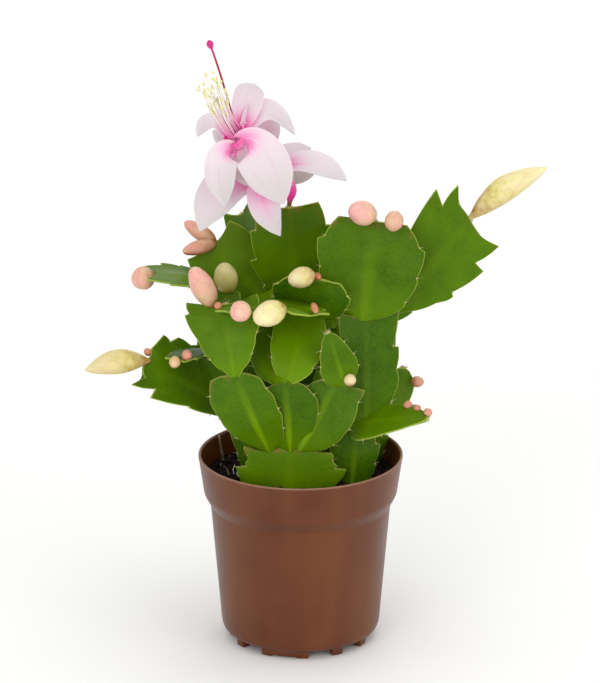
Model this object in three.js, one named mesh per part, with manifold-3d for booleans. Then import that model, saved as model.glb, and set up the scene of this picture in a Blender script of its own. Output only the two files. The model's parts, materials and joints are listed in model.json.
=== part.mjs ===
// Potted Christmas cactus: a rooted cluster of flat, toothed stem segments with one open flower and many
// buds, standing in peat in a small moulded nursery pot. Millimetres, +Z up. The plant is laid out about the
// pot's axis, with the viewer on -Y, and the whole is centred on its own box at the end.
import * as THREE from "three";
import { mergeVertices } from "three/addons/utils/BufferGeometryUtils.js";
import Module from "manifold-3d";

const wasm = await Module();
wasm.setup();

// Driving sizes
const CLEARANCE = 0.3;
const WELD = 0.04;
const POT = {
  rimRadius: 35,
  rimHeight: 66,
  wall: 1,
  bandFoot: 52.8,
  bandFootRadius: 33.1,
  bodyTopRadius: 30.85,
  bodyTop: 48.3,
  baseRadius: 27.1,
  baseTop: 5.5,
  floorTop: 3.4,
  floorUnder: 2.2,
  sides: 32,
};
const FEET = { count: 12, outer: 24.5, inner: 22, halfAngle: 5, firstAngle: 1.5, sunk: 0.5 };
const RIB = { everyFeet: 4, from: -1, foot: 0.6 };
const DRAIN = { count: 4, radius: 2.5, onRadius: 14, sides: 8, firstAngle: 15 };
const SOIL = { height: 58, swell: 0.7, rings: 4, sides: 28, floorRadius: 23 };
const SLOT = { sides: 10, squareness: 0.3, above: 2 };

// A segment's blade: half its thickness at the midrib, more at the joint than at the tip, and at the edge.
// Each segment is cupped and twisted a little by its own draw, and its teeth vary by theirs.
const BLADE = {
  midHalf: 1.25,
  jointSwell: 1.25,
  tipThinning: 0.45,
  roundness: 1.4,
  edgeHalf: 0.5,
  columns: [-1, -0.52, 0, 0.52, 1],
  edgeLead: 2.2,
  sink: 1.6,
  twist: 10,
  cup: 0.06,
  cupLeast: 0.4,
  cupFullBy: 2.5,
  toothLeast: 0.965,
  toothVary: 0.1,
};

const MATERIALS = {
  pot: new THREE.MeshStandardMaterial({ color: 0x6f4230, roughness: 0.42, metalness: 0 }),
  soil: new THREE.MeshStandardMaterial({ color: 0x2a2019, roughness: 0.95, metalness: 0 }),
  stem: new THREE.MeshStandardMaterial({ color: 0x3f7d1e, roughness: 0.5, metalness: 0 }),
  creamBud: new THREE.MeshStandardMaterial({ color: 0xe9e2a0, roughness: 0.5, metalness: 0 }),
  pinkBud: new THREE.MeshStandardMaterial({ color: 0xf2b3ac, roughness: 0.5, metalness: 0 }),
  petal: new THREE.MeshStandardMaterial({ color: 0xf7dfe8, roughness: 0.6, metalness: 0 }),
  ovary: new THREE.MeshStandardMaterial({ color: 0xd6377f, roughness: 0.5, metalness: 0 }),
  style: new THREE.MeshStandardMaterial({ color: 0xc3195e, roughness: 0.45, metalness: 0 }),
  stamen: new THREE.MeshStandardMaterial({ color: 0xf6efc6, roughness: 0.6, metalness: 0 }),
};

// The edge of a stem segment, from its narrow joint to its cut-off tip: [place along the midrib, place along
// the edge, half width], as shares of the length and of the half width. The edge runs ahead of the midrib, so
// the teeth point forward, and the last tooth is the horn beside the tip. Worn low segments are smooth ovals,
// and a few others have a form of their own. Where the left edge differs, its two values end the row.
const HORN_REACH = 1.05;
const OUTLINES = {
  toothed: [
    [0.0, 0.0, 0.11],
    [0.1, 0.1, 0.34],
    [0.26, 0.31, 0.78],
    [0.3, 0.33, 0.7],
    [0.47, 0.56, 0.98],
    [0.51, 0.57, 0.88],
    [0.72, 0.82, 1.0],
    [0.76, 0.82, 0.86],
    [0.94, HORN_REACH, 0.68],
    [0.98, 1.0, 0.36],
  ],
  flared: [
    [0.0, 0.0, 0.11],
    [0.1, 0.1, 0.24, 0.1, 0.34],
    [0.24, 0.28, 0.6, 0.3, 0.78],
    [0.3, 0.37, 0.73, 0.37, 0.76],
    [0.44, 0.5, 0.91, 0.49, 1.02],
    [0.48, 0.52, 0.82, 0.54, 0.95],
    [0.7, 0.84, 1.01, 0.91, 1.16],
    [0.74, 0.83, 0.78, 0.87, 0.77],
    [0.86, 1.07, 0.92, 1.05, 0.78],
    [0.98, 1.0, 0.52, 0.96, 0.48],
  ],
  upswept: [
    [0.0, 0.0, 0.11],
    [0.1, 0.12, 0.4, 0.1, 0.25],
    [0.24, 0.33, 0.85, 0.2, 0.43],
    [0.3, 0.4, 0.9, 0.28, 0.52],
    [0.44, 0.66, 1.3, 0.47, 0.74],
    [0.48, 0.73, 1.18, 0.48, 0.68],
    [0.62, 0.88, 1.25, 0.8, 1.0],
    [0.68, 0.93, 0.98, 0.8, 0.69],
    [0.82, 1.03, 1.05, 0.98, 0.88],
    [0.98, 1.05, 0.5, 0.9, 0.46],
  ],
  blunt: [
    [0.0, 0.0, 0.22],
    [0.06, 0.05, 0.44],
    [0.19, 0.2, 0.75],
    [0.24, 0.24, 0.78],
    [0.43, 0.47, 0.97],
    [0.48, 0.5, 0.94],
    [0.71, 0.77, 1.0],
    [0.76, 0.8, 0.92],
    [0.93, 1.0, 0.66],
    [0.98, 1.0, 0.38],
  ],
  wedge: [
    [0.0, 0.0, 0.1],
    [0.1, 0.1, 0.26],
    [0.22, 0.24, 0.48],
    [0.27, 0.28, 0.54],
    [0.46, 0.49, 0.72],
    [0.52, 0.55, 0.77],
    [0.76, 0.88, 1.0, 0.91, 1.07],
    [0.81, 0.89, 0.88, 0.92, 0.92],
    [0.94, HORN_REACH, 0.84, 1.08, 0.96],
    [0.98, 1.0, 0.42],
  ],
  tall: [
    [0.0, 0.0, 0.2],
    [0.08, 0.08, 0.42],
    [0.2, 0.22, 0.72],
    [0.25, 0.27, 0.8],
    [0.42, 0.46, 1.0, 0.46, 0.86],
    [0.5, 0.55, 0.98, 0.55, 0.84],
    [0.64, 0.73, 1.05, 0.73, 0.9],
    [0.68, 0.74, 0.86, 0.74, 0.78],
    [0.93, 1.03, 1.0, 1.03, 0.84],
    [0.98, 1.0, 0.42],
  ],
  rooted: [
    [0.0, 0.0, 0.4],
    [0.12, 0.12, 0.6],
    [0.28, 0.34, 0.84],
    [0.36, 0.42, 0.86],
    [0.52, 0.66, 1.0, 0.7, 1.0],
    [0.62, 0.68, 0.84, 0.71, 0.82],
    [0.68, 0.74, 0.82, 0.79, 0.8],
    [0.74, 0.79, 0.8, 0.87, 0.8],
    [0.8, 0.9, 0.8, 1.0, 0.86],
    [0.985, 0.905, 0.52, 0.905, 0.52],
  ],
  shouldered: [
    [0.0, 0.0, 0.16],
    [0.07, 0.07, 0.42],
    [0.17, 0.17, 0.7],
    [0.25, 0.26, 0.84],
    [0.4, 0.42, 1.0, 0.42, 0.96],
    [0.5, 0.53, 1.04, 0.5, 0.98],
    [0.68, 0.78, 1.0, 0.68, 0.84],
    [0.75, 0.88, 0.9, 0.76, 0.72],
    [0.88, 1.04, 0.9, 0.9, 0.48],
    [0.98, 1.0, 0.5, 0.98, 0.24],
  ],
  leaning: [
    [0.0, 0.0, 0.28, 0.0, 0.2],
    [0.07, 0.06, 0.5, 0.09, 0.42],
    [0.18, 0.17, 0.7, 0.2, 0.68],
    [0.26, 0.25, 0.78, 0.27, 0.8],
    [0.44, 0.43, 0.88, 0.46, 0.96],
    [0.52, 0.51, 0.9, 0.56, 1.06],
    [0.7, 0.68, 0.86, 0.76, 1.12],
    [0.78, 0.77, 0.79, 0.84, 1.08],
    [0.92, 0.9, 0.66, 1.0, 0.84],
    [0.985, 0.975, 0.34, 1.02, 0.5],
  ],
  oval: [
    [0.0, 0.0, 0.16],
    [0.08, 0.07, 0.42],
    [0.19, 0.18, 0.7],
    [0.26, 0.25, 0.81],
    [0.43, 0.42, 0.96],
    [0.51, 0.5, 1.0],
    [0.69, 0.68, 0.98],
    [0.77, 0.76, 0.91],
    [0.91, 0.9, 0.62],
    [0.985, 0.975, 0.28],
  ],
  drop: [
    [0.0, 0.0, 0.3],
    [0.07, 0.06, 0.62],
    [0.18, 0.17, 0.9],
    [0.26, 0.25, 1.0],
    [0.42, 0.41, 0.98],
    [0.5, 0.49, 0.93],
    [0.69, 0.68, 0.74],
    [0.76, 0.75, 0.65],
    [0.91, 0.9, 0.4],
    [0.98, 0.97, 0.2],
  ],
};
const OUTLINE_OF = {
  front_foot: "rooted",
  front_left: "leaning",
  front_middle: "oval",
  front_right: "shouldered",
  front_upper_left: "wedge",
  front_tall: "blunt",
  front_crown: "blunt",
  front_prop: "blunt",
  front_small: "drop",
  right_fan: "blunt",
  right_far: "flared",
  left_low: "upswept",
  right_tall: "tall",
  right_shelf: "drop",
  side_short: "oval",
  left_upper: "blunt",
};
const TOOTH_ROWS = [2, 4, 6, 8];

// Stems. Each row is one segment: name, the segment it grows from (or where its foot stands in the soil),
// mm along the parent's tip, its own tip [x, y, z], width, the way its face looks [degrees round from the
// viewer, degrees up] and how far its middle bows to that side. A few also say how far the right edge lags
// behind the left one, and how far the horns reach, both as shares of the length.
const STEMS = {
  stem_front: [
    ["front_foot", [-3.6, -13, 49], 0, [-3.6, -14, 73.8], 36, [0, 0], 0.5],
    ["front_left", "front_foot", -7.5, [-21.7, -23, 103.4], 20.7, [-8, 0], 1.5],
    ["front_middle", "front_foot", 0, [-5.6, -18, 99.5], 21, [0, 10], 0.6],
    ["front_right", "front_foot", 4, [12.6, -13.5, 98], 21.8, [-6, 0], 0.6],
    ["front_upper_left", "front_left", -0.5, [-25.4, -14, 125.1], 27, [-12, 20], 1.5],
    ["front_tall", "front_middle", 1.4, [1.2, -1, 117], 18.5, [3, 20], 2.2],
    ["front_prop", "front_middle", -2, [-9.2, 5, 121.8], 21, [-5, 15], -1.5],
    ["front_shelf", "front_prop", 0, [-9.5, -27, 127.5], 37, [0, 82], -1],
    ["front_crown", "front_tall", 1, [5, -10.5, 133.2], 26, [4, 30], 1.5],
    ["front_small", "front_right", 2, [8.9, -17.5, 116.1], 13, [14, 0], 0.6],
  ],
  stem_right: [
    ["right_foot", [16.5, -7, 49], 0, [18.8, -6, 77.2], 17, [8, 0], 0.5],
    ["right_tall", "right_foot", 3.2, [22, -1, 116.4], 21.5, [10, 0], 1],
    ["right_shelf", "right_foot", -0.5, [43.6, -17, 84.8], 15.8, [5, 60], 1.4],
    ["right_fan", "right_tall", -1, [25, 1.5, 149.8], 35, [0, 5], 1.5, 0.01, 0.95],
    ["right_back", "right_foot", 6, [26.5, 10.5, 113.9], 12.5, [20, 5], 1],
    ["right_far", "right_back", 4, [58.1, 11.5, 147.2], 28, [8, 10], 1.5, 0.13],
  ],
  stem_side: [
    ["side_foot", [21, 11, 50], 0, [25, 13, 72.3], 13, [30, 0], 0.4],
    ["side_short", "side_foot", 2, [35.5, 14, 92.5], 13, [30, 10], 0.8],
    ["side_rear", "side_foot", -3, [35, 33, 71], 17, [150, 70], 1],
  ],
  stem_left: [
    ["left_foot", [-12, -2, 50], 0, [-20, -2, 81.4], 11.5, [-10, 0], 0.4],
    ["left_low", "left_foot", -2.4, [-53.2, -14, 103.6], 23, [0, 45], 1.2, 0.14],
    ["left_riser", "left_foot", 1, [-29.3, -2, 103.7], 18, [-20, 0], 0.8],
    ["left_short", "left_riser", -2, [-42, -18, 106], 11, [-30, 78], 0.8],
    ["left_upper", "left_riser", 1, [-23.8, 3, 124], 10, [-10, 0], 0.8],
    ["left_top", "left_upper", -4, [-50.4, -1, 130.6], 19, [-10, 82], 1, 0, 1.12],
  ],
  stem_middle: [
    ["middle_foot", [-4, 11, 50], 0, [-5, 12, 72.3], 17, [0, 0], 0.4],
    ["middle_riser", "middle_foot", 0, [-5, 16, 111.3], 22, [0, 5], 0.8],
    ["middle_left", "middle_riser", -3, [-30.2, 16, 136.5], 28, [-8, 20], 1.5],
    ["middle_top", "middle_riser", 3, [-3.9, 14, 150.7], 28, [5, 0], 1.2, 0, 1.02],
    ["middle_edge", "middle_riser", -1, [-20.4, 26, 144.5], 20, [-65, 25], 1],
  ],
  stem_back: [
    ["back_foot", [9, 19, 50], 0, [10, 21, 74], 17, [180, 0], 0.4],
    ["back_right", "back_foot", -3, [14, 34, 101], 24, [175, 10], 1],
    ["back_left", "back_foot", 4, [-18, 33, 98], 23, [200, 10], 1],
    ["back_top", "back_right", 3, [8, 45, 128], 27, [180, 10], 1.2],
    ["back_far", "back_right", -4, [36, 40, 115], 24, [150, 25], 1.2],
    ["back_crown", "back_left", 0, [-15, 49, 118], 25, [190, 40], 1.2],
    ["back_shelf", "back_far", 0, [27, 61, 121], 24, [160, 60], 1],
  ],
  stem_back_left: [
    ["low_foot", [-14, 19, 50], 0, [-15, 21, 73], 14, [190, 0], 0.4],
    ["low_left", "low_foot", 1, [-32, 35, 86], 22, [200, 45], 1],
    ["low_shelf", "low_left", 0, [-20, 58, 98], 24, [195, 60], 1],
  ],
};

// Buds: name, the segment whose tip it grows at, its offset from that tip [x, y, z], its own tip measured
// from there, its radius and its colour.
const BUD = {
  outline: [[0, 0], [0.05, 0.17], [0.2, 0.6], [0.42, 1], [0.64, 0.93], [0.86, 0.5], [1, 0]],
  sides: 8,
  smallRadius: 2,
  smallOutline: [[0, 0], [0.12, 0.35], [0.45, 1], [0.8, 0.7], [1, 0]],
  smallSides: 5,
  sunk: 2.5,
};
const BUDS = [
  ["bud_far_right", "right_far", [-0.6, 0, -0.6], [26.4, -1, 18.8], 4.3, "creamBud"],
  ["bud_far_left", "left_low", [0.6, 0, 0.6], [-20.4, -6, -1.2], 4.1, "creamBud"],
  ["bud_low_tip", "left_low", [2.8, 3.2, 1], [-2.2, 0.2, 3], 1.3, "pinkBud"],
  ["bud_fan_left", "right_fan", [-1.2, -2, 1.8], [-6.8, -7, 4.4], 4.1, "pinkBud"],
  ["bud_fan_right", "right_fan", [2.2, -1, 0.8], [6.4, -6.6, 0.2], 3.5, "pinkBud"],
  ["bud_short_cream", "left_short", [-0.2, -0.4, 0], [-0.6, -4, -0.4], 1.9, "creamBud"],
  ["bud_short_pink", "left_short", [3.4, -0.4, 2], [0.9, -3.6, 1.2], 1.7, "pinkBud"],
  ["bud_left_top", "left_top", [-0.4, 0.6, -0.3], [-6.4, -1, -2.2], 3.9, "pinkBud"],
  ["bud_upper_left", "front_upper_left", [-4.6, -0.8, 0.2], [-6.3, -5, 14.2], 3.9, "pinkBud"],
  ["bud_upper_tiny", "front_upper_left", [-1.6, -2.4, 0], [-0.6, -3, 0.8], 1.3, "pinkBud"],
  ["bud_olive", "left_upper", [-1, -0.6, 0.8], [-1.2, -6.4, 10.4], 4, "creamBud"],
  ["bud_shelf_pink", "front_shelf", [-7.6, -1.2, 2], [-5.4, -5.4, -3], 3.5, "pinkBud"],
  ["bud_shelf_cream", "front_shelf", [1.8, -1.8, 0], [-7.8, -5.8, -1.4], 4.2, "creamBud"],
  ["bud_shelf_tiny", "front_shelf", [14.2, 0.4, 0], [0.6, -3, -0.6], 1.2, "pinkBud"],
  ["bud_crown_cream", "front_crown", [-0.8, -2.1, 1.6], [-8.2, -5, -0.8], 3.5, "creamBud"],
  ["bud_crown_tiny", "front_crown", [0.6, -0.8, 0.4], [0.6, -3, 0.6], 1.3, "pinkBud"],
  ["bud_middle_upper", "middle_left", [-1, 0.4, 1.6], [-8.4, -1.6, 6.4], 2.7, "pinkBud"],
  ["bud_middle_lower", "middle_left", [-0.6, -1.8, 0], [-9.2, -8.4, 0.2], 2.5, "pinkBud"],
  ["bud_small_yellow", "front_right", [3.2, -1.2, 0], [2, -3.4, 0.6], 2.1, "creamBud"],
  ["bud_side", "side_short", [2.7, 0, -5.4], [4.2, -1, 0.2], 1.9, "pinkBud"],
  ["bud_low_right_a", "right_shelf", [-7.1, 7.2, 1.4], [-0.2, -1.4, 2.4], 1.5, "pinkBud"],
  ["bud_low_right_b", "right_shelf", [-4, 4.8, 1.2], [0, -1.2, 2], 1.2, "pinkBud"],
  ["bud_low_right_c", "right_shelf", [-0.9, 2, 0.6], [0.8, -1.4, 2.2], 1.5, "pinkBud"],
  ["bud_back_top", "back_top", [0, 0.6, 0.4], [1, 6, 1], 2.6, "pinkBud"],
  ["bud_back_crown", "back_crown", [0, 0.4, 0.4], [-3, 9, 7], 3.4, "creamBud"],
  ["bud_back_low", "low_shelf", [0, 0.4, 0], [-2, 5, 1.5], 2.2, "pinkBud"],
];

// The flower leans up, to the left and towards the viewer: the ovary at the segment's tip, the tube with its
// petals, and the stamens round the style, which reach far out of the throat.
const FLOWER = {
  ovaryBase: [-4.1, 13.9, 149.6],
  ovaryTop: [-2.6, 12.4, 157.6],
  tubeFoot: [-3, 11.9, 158.6],
  throat: [-22, -3, 180.2],
  stigma: [-29.7, -12, 214],
  stamensTowards: [-31, -14, 203.2],
};
const TUBE = [
  [0, 0],
  [1.5, 0],
  [2.1, 5],
  [2.8, 17],
  [3.5, 26],
  [4.3, 33],
  [3.6, 33.3],
  [2.6, 25.2],
  [0, 25],
];
const TUBE_SIDES = 10;
const OVARY = [
  [0, 0],
  [0.7, 0],
  [0.9, 0.31],
  [1.8, 0.54],
  [2, 0.74],
  [1.4, 0.97],
  [0, 1],
];
const OVARY_SIDES = 8;
const STAMENS = {
  places: 9,
  opening: 263,
  ring: 1.9,
  ringWall: 1.05,
  ringSides: 9,
  sides: 3,
  radius: 0.45,
  steps: 3,
  root: 25.5,
  shortest: 17.5,
  vary: 9,
  spread: 1.9,
  anther: [[0, -1.1], [0.75, 0], [0, 1.1]],
};
const STYLE = { radius: 0.5, root: 25.7, bow: [1.7, 0, -0.2], sides: 5, steps: 6 };
// Petals: mm along the tube, the point halfway along [x, y, z], the tip [x, y, z], width, the way the face
// looks [degrees round from the viewer, degrees up].
const PETALS = [
  [31, [-17.7, 5, 190.6], [-16, 9, 195.3], 10.5, [0, 25]],
  [30, [-11.3, 6, 186.8], [-1.9, 9, 177.1], 9, [30, 50]],
  [31, [-13, -11, 174.8], [-6, -6, 157.5], 17, [14, 0]],
  [30, [-26.5, -10, 172.5], [-25.4, -8, 157.5], 11.5, [-18, 0]],
  [31, [-29.6, 0.5, 184.4], [-34.7, -0.5, 179.5], 8, [-40, 60]],
  [30, [-14.4, 14, 180.8], [-9.7, 20, 167.7], 12, [160, 20]],
  [29.5, [-24.5, 12, 178.6], [-23.3, 18, 165.4], 10.5, [200, 10]],
  [13, [-25.1, 0, 162.2], [-33.9, -4, 147.3], 14, [-15, 10]],
  [8, [-12.7, -2, 159], [-6.9, -4, 145.5], 11, [0, 10]],
  [10, [3.8, 6, 168.1], [15.7, 4, 162.4], 9.5, [10, 55]],
  [15, [-2.9, 13, 169.5], [3.5, 17, 170], 7.5, [30, 50]],
  [10, [-1.2, 23, 161.6], [-2.3, 31, 152.9], 12, [175, 10]],
  [13, [-19.6, 20, 165], [-25.8, 28, 158], 12, [205, 20]],
];
// Half the width of a petal along its length: [place, share of the half width].
const PETAL_EDGE = [
  [0, 0.5],
  [0.22, 0.84],
  [0.5, 1],
  [0.75, 0.88],
  [0.92, 0.42],
  [1, 0.12],
];
const PETAL = { half: 0.4, columns: [-1, 0, 1], cup: 0.16 };

// Vector helpers
const vec = (p) => new THREE.Vector3(p[0], p[1], p[2]);
const degrees = (a) => (a * Math.PI) / 180;

// The direction that is some degrees round from the viewer, to the right, and some degrees up.
function lookVector(heading, rise) {
  const flat = Math.cos(degrees(rise));
  return new THREE.Vector3(
    Math.sin(degrees(heading)) * flat,
    -Math.cos(degrees(heading)) * flat,
    Math.sin(degrees(rise)),
  );
}

// A repeatable draw from 0 to 1 for a whole number.
function draw(seed) {
  const s = Math.sin(seed * 12.9898) * 43758.5453;
  return s - Math.floor(s);
}

// Closed geometry from points and triangles
function solidGeometry(points, triangles) {
  const geometry = new THREE.BufferGeometry();
  geometry.setAttribute("position", new THREE.Float32BufferAttribute(points.flat(), 3));
  geometry.setIndex(triangles.flat());
  return geometry;
}

function toSolid(geometry) {
  const bare = geometry.clone();
  bare.deleteAttribute("normal");
  bare.deleteAttribute("uv");
  const merged = mergeVertices(bare, 1e-4);
  return new wasm.Manifold(
    new wasm.Mesh({
      numProp: 3,
      vertProperties: new Float32Array(merged.attributes.position.array),
      triVerts: new Uint32Array(merged.index.array),
    }),
  );
}

// A join can leave two points a hair apart on its seam. Each such pair becomes one point, and the faces that
// shrink to nothing, or onto each other, go.
function welded({ vertProperties, triVerts }) {
  const point = (i) => new THREE.Vector3().fromArray(vertProperties, 3 * i);
  const same = [...Array(vertProperties.length / 3).keys()];
  const first = (i) => (same[i] === i ? i : first(same[i]));
  const corners = [];
  for (let i = 0; i < triVerts.length; i += 3) corners.push([triVerts[i], triVerts[i + 1], triVerts[i + 2]]);
  for (const face of corners) {
    for (let k = 0; k < 3; k++) {
      const a = first(face[k]);
      const b = first(face[(k + 1) % 3]);
      if (a !== b && point(a).distanceTo(point(b)) < WELD) same[Math.max(a, b)] = Math.min(a, b);
    }
  }
  const faces = corners.map((face) => face.map(first)).filter(([a, b, c]) => a !== b && b !== c && c !== a);
  const key = (face) => [...face].sort((a, b) => a - b).join();
  const counts = new Map();
  for (const face of faces) counts.set(key(face), (counts.get(key(face)) ?? 0) + 1);
  return faces.filter((face) => counts.get(key(face)) === 1);
}

function toMesh(name, solid, material) {
  const data = solid.getMesh();
  const loose = new THREE.BufferGeometry();
  loose.setAttribute("position", new THREE.BufferAttribute(data.vertProperties, 3));
  loose.setIndex(welded(data).flat());
  const geometry = mergeVertices(loose.toNonIndexed(), 1e-5);
  geometry.computeVertexNormals();
  const mesh = new THREE.Mesh(geometry, material);
  mesh.name = name;
  return mesh;
}

// A grid of rows and columns made into a plate: the same grid on both faces, split alike, and a wall round.
function plate(front, back) {
  const rows = front.length;
  const columns = front[0].length;
  const points = [...front.flat(), ...back.flat()];
  const half = rows * columns;
  const at = (r, c) => r * columns + c;
  const triangles = [];
  for (let r = 0; r < rows - 1; r++) {
    for (let c = 0; c < columns - 1; c++) {
      const corners = [at(r, c), at(r, c + 1), at(r + 1, c + 1), at(r + 1, c)];
      const splits = c < (columns - 1) / 2 ? [[0, 1, 3], [1, 2, 3]] : [[0, 1, 2], [0, 2, 3]];
      for (const [i, j, k] of splits) {
        triangles.push([corners[i], corners[j], corners[k]]);
        triangles.push([half + corners[i], half + corners[k], half + corners[j]]);
      }
    }
  }
  const border = [];
  for (let c = 0; c < columns - 1; c++) border.push(at(0, c));
  for (let r = 0; r < rows - 1; r++) border.push(at(r, columns - 1));
  for (let c = columns - 1; c > 0; c--) border.push(at(rows - 1, c));
  for (let r = rows - 1; r > 0; r--) border.push(at(r, 0));
  border.forEach((a, i) => {
    const b = border[(i + 1) % border.length];
    triangles.push([a, half + a, half + b]);
    triangles.push([a, half + b, b]);
  });
  return solidGeometry(points, triangles);
}

// Where a segment lies: its joint, its direction, its width direction and the way its face looks.
function placeSegment(row, placed) {
  const [name, parent, side, tip, width, [heading, rise], bow, skew = 0, horn = HORN_REACH] = row;
  const end = vec(tip);
  const base = Array.isArray(parent)
    ? vec(parent)
    : placed[parent].tip.clone().addScaledVector(placed[parent].across, side);
  const along = end.clone().sub(base).normalize();
  const start = Array.isArray(parent) ? base : base.clone().addScaledVector(along, -BLADE.sink);
  const look = lookVector(heading, rise);
  const out = look.clone().addScaledVector(along, -look.dot(along)).normalize();
  const across = along.clone().cross(out);
  const length = end.distanceTo(start);
  const rooted = Array.isArray(parent);
  const outline = OUTLINES[OUTLINE_OF[name] ?? "toothed"];
  return { name, start, tip: end, along, across, out, length, width, outline, bow, skew, horn, rooted };
}

// One flat, fleshy segment: thick at the midrib, thin at its toothed edges, bowed and slightly twisted. A
// segment rooted in the soil stays flat.
function segmentGeometry(place, seed) {
  const { start, along, across, out, length, width, outline, bow, skew, horn, rooted } = place;
  const twist = rooted ? 0 : degrees(BLADE.twist * (draw(seed) - 0.5));
  const cup = rooted ? 0 : Math.sign(bow) * BLADE.cup * width * (BLADE.cupLeast + draw(seed + 1));
  const toothReach = (r, side) => BLADE.toothLeast + BLADE.toothVary * draw(seed * 7 + r * 2 + side);
  const reaches = [0, 1].map((side) =>
    outline.map((_, r) => (TOOTH_ROWS.includes(r) ? toothReach(r, side) : 1)),
  );
  const faces = [1, -1].map((face) =>
    outline.map(([mid, rightEdge, rightHalf, leftEdge = rightEdge, leftHalf = rightHalf], r) =>
      BLADE.columns.map((column) => {
        const reach = Math.abs(column);
        const [edge, half] = column < 0 ? [leftEdge, leftHalf] : [rightEdge, rightHalf];
        const ahead = (edge === HORN_REACH ? horn : edge) - mid;
        const v = mid + ahead * reach ** BLADE.edgeLead - skew * column * half * mid;
        const lateral = (column * half * reaches[column < 0 ? 0 : 1][r] * width) / 2;
        const midHalf = BLADE.midHalf * (BLADE.jointSwell - BLADE.tipThinning * v);
        const thick = BLADE.edgeHalf + (midHalf - BLADE.edgeHalf) * (1 - reach ** BLADE.roundness);
        const lift = bow * 4 * v * (1 - v) + cup * reach ** 2 * Math.min(1, BLADE.cupFullBy * v);
        const turn = twist * v;
        return start
          .clone()
          .addScaledVector(along, v * length)
          .addScaledVector(across, lateral * Math.cos(turn))
          .addScaledVector(out, lateral * Math.sin(turn) + lift + face * thick)
          .toArray();
      }),
    ),
  );
  return plate(faces[0], faces[1]);
}

// The plain slot in the soil round a rooted segment: a flat oval, as wide as the segment is at the surface.
function slotSolid({ start, along, across, out, length, width, outline, bow }) {
  const top = SOIL.height + SLOT.above;
  const depth = top - start.z + CLEARANCE;
  const lean = along.clone().multiplyScalar(depth / along.z);
  const surface = (top - start.z) / (along.z * length);
  const after = outline.findIndex(([mid]) => mid > surface);
  const half = (width / 2) * outline[after][2] + Math.abs(lean.dot(across)) / 2 + CLEARANCE;
  const thick = BLADE.midHalf * 1.5 + Math.abs(lean.dot(out)) / 2 + bow / 2 + CLEARANCE;
  const middle = start.clone().addScaledVector(lean, 0.5);
  const slotOutline = new THREE.Shape();
  for (let i = 0; i < SLOT.sides; i++) {
    const a = (2 * Math.PI * i) / SLOT.sides;
    const wide = Math.sign(Math.cos(a)) * Math.abs(Math.cos(a)) ** SLOT.squareness * half;
    const deep = Math.sign(Math.sin(a)) * Math.abs(Math.sin(a)) ** SLOT.squareness * thick;
    const x = middle.x + across.x * wide + out.x * (deep + bow / 2);
    const y = middle.y + across.y * wide + out.y * (deep + bow / 2);
    slotOutline[i === 0 ? "moveTo" : "lineTo"](x, y);
  }
  const slot = new THREE.ExtrudeGeometry(slotOutline, { depth, bevelEnabled: false });
  slot.translate(0, 0, start.z - CLEARANCE);
  return toSolid(slot);
}

// A solid of revolution stood on the line from one point to another; its profile is [radius, mm along].
function turned(profile, from, to, sides) {
  const points = profile.map(([r, h]) => new THREE.Vector2(r, h));
  const geometry = new THREE.LatheGeometry(points, sides);
  const direction = vec(to).sub(vec(from)).normalize();
  const turn = new THREE.Quaternion().setFromUnitVectors(new THREE.Vector3(0, 1, 0), direction);
  geometry.applyQuaternion(turn);
  geometry.translate(...from);
  return geometry;
}

// The pot: a moulded cup with a deep rim band, a drained floor and a ring of feet.
function makePot() {
  const up = [0, 0, 1];
  const outer = [
    [0, POT.floorUnder],
    [23.6, POT.floorUnder],
    [25.5, 2.8],
    [26.6, 3.9],
    [POT.baseRadius, POT.baseTop],
    [POT.bodyTopRadius, POT.bodyTop],
    [31.5, 49.6],
    [32.6, 51.6],
    [POT.bandFootRadius, POT.bandFoot],
    [POT.rimRadius, POT.rimHeight - 0.5],
    [POT.rimRadius - 0.3, POT.rimHeight],
  ];
  const inner = [
    [POT.rimRadius - 0.8, POT.rimHeight],
    [POT.rimRadius - POT.wall - 0.1, POT.rimHeight - 0.6],
    [POT.bandFootRadius - POT.wall + 0.1, POT.bandFoot + 0.3],
    [31.6, 51.9],
    [30.5, 50],
    [POT.bodyTopRadius - POT.wall, POT.bodyTop + 0.3],
    [POT.baseRadius - POT.wall, POT.baseTop + 0.4],
    [23.9, POT.floorTop],
    [0, POT.floorTop],
  ];
  let pot = toSolid(turned([...outer, ...inner], [0, 0, 0], up, POT.sides));
  for (let i = 0; i < FEET.count; i++) {
    const middle = FEET.firstAngle + (360 / FEET.count) * i;
    pot = pot.add(ringBlock(middle - FEET.halfAngle, middle + FEET.halfAngle, 0));
  }
  const pitch = 360 / FEET.count;
  for (let i = RIB.from; i < FEET.count + RIB.from; i += RIB.everyFeet) {
    const start = FEET.firstAngle + pitch * i;
    pot = pot.add(ringBlock(start, start + pitch, RIB.foot));
  }
  for (let i = 0; i < DRAIN.count; i++) {
    const angle = degrees((360 / DRAIN.count) * i + DRAIN.firstAngle);
    const centre = [DRAIN.onRadius * Math.sin(angle), DRAIN.onRadius * Math.cos(angle), 0];
    const hole = [
      [0, 1],
      [DRAIN.radius, 1],
      [DRAIN.radius, POT.floorTop + 0.1],
      [0, POT.floorTop + 0.1],
    ];
    const above = [centre[0], centre[1], 1];
    pot = pot.subtract(toSolid(turned(hole, centre, above, DRAIN.sides)));
  }
  return pot;
}

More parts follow.
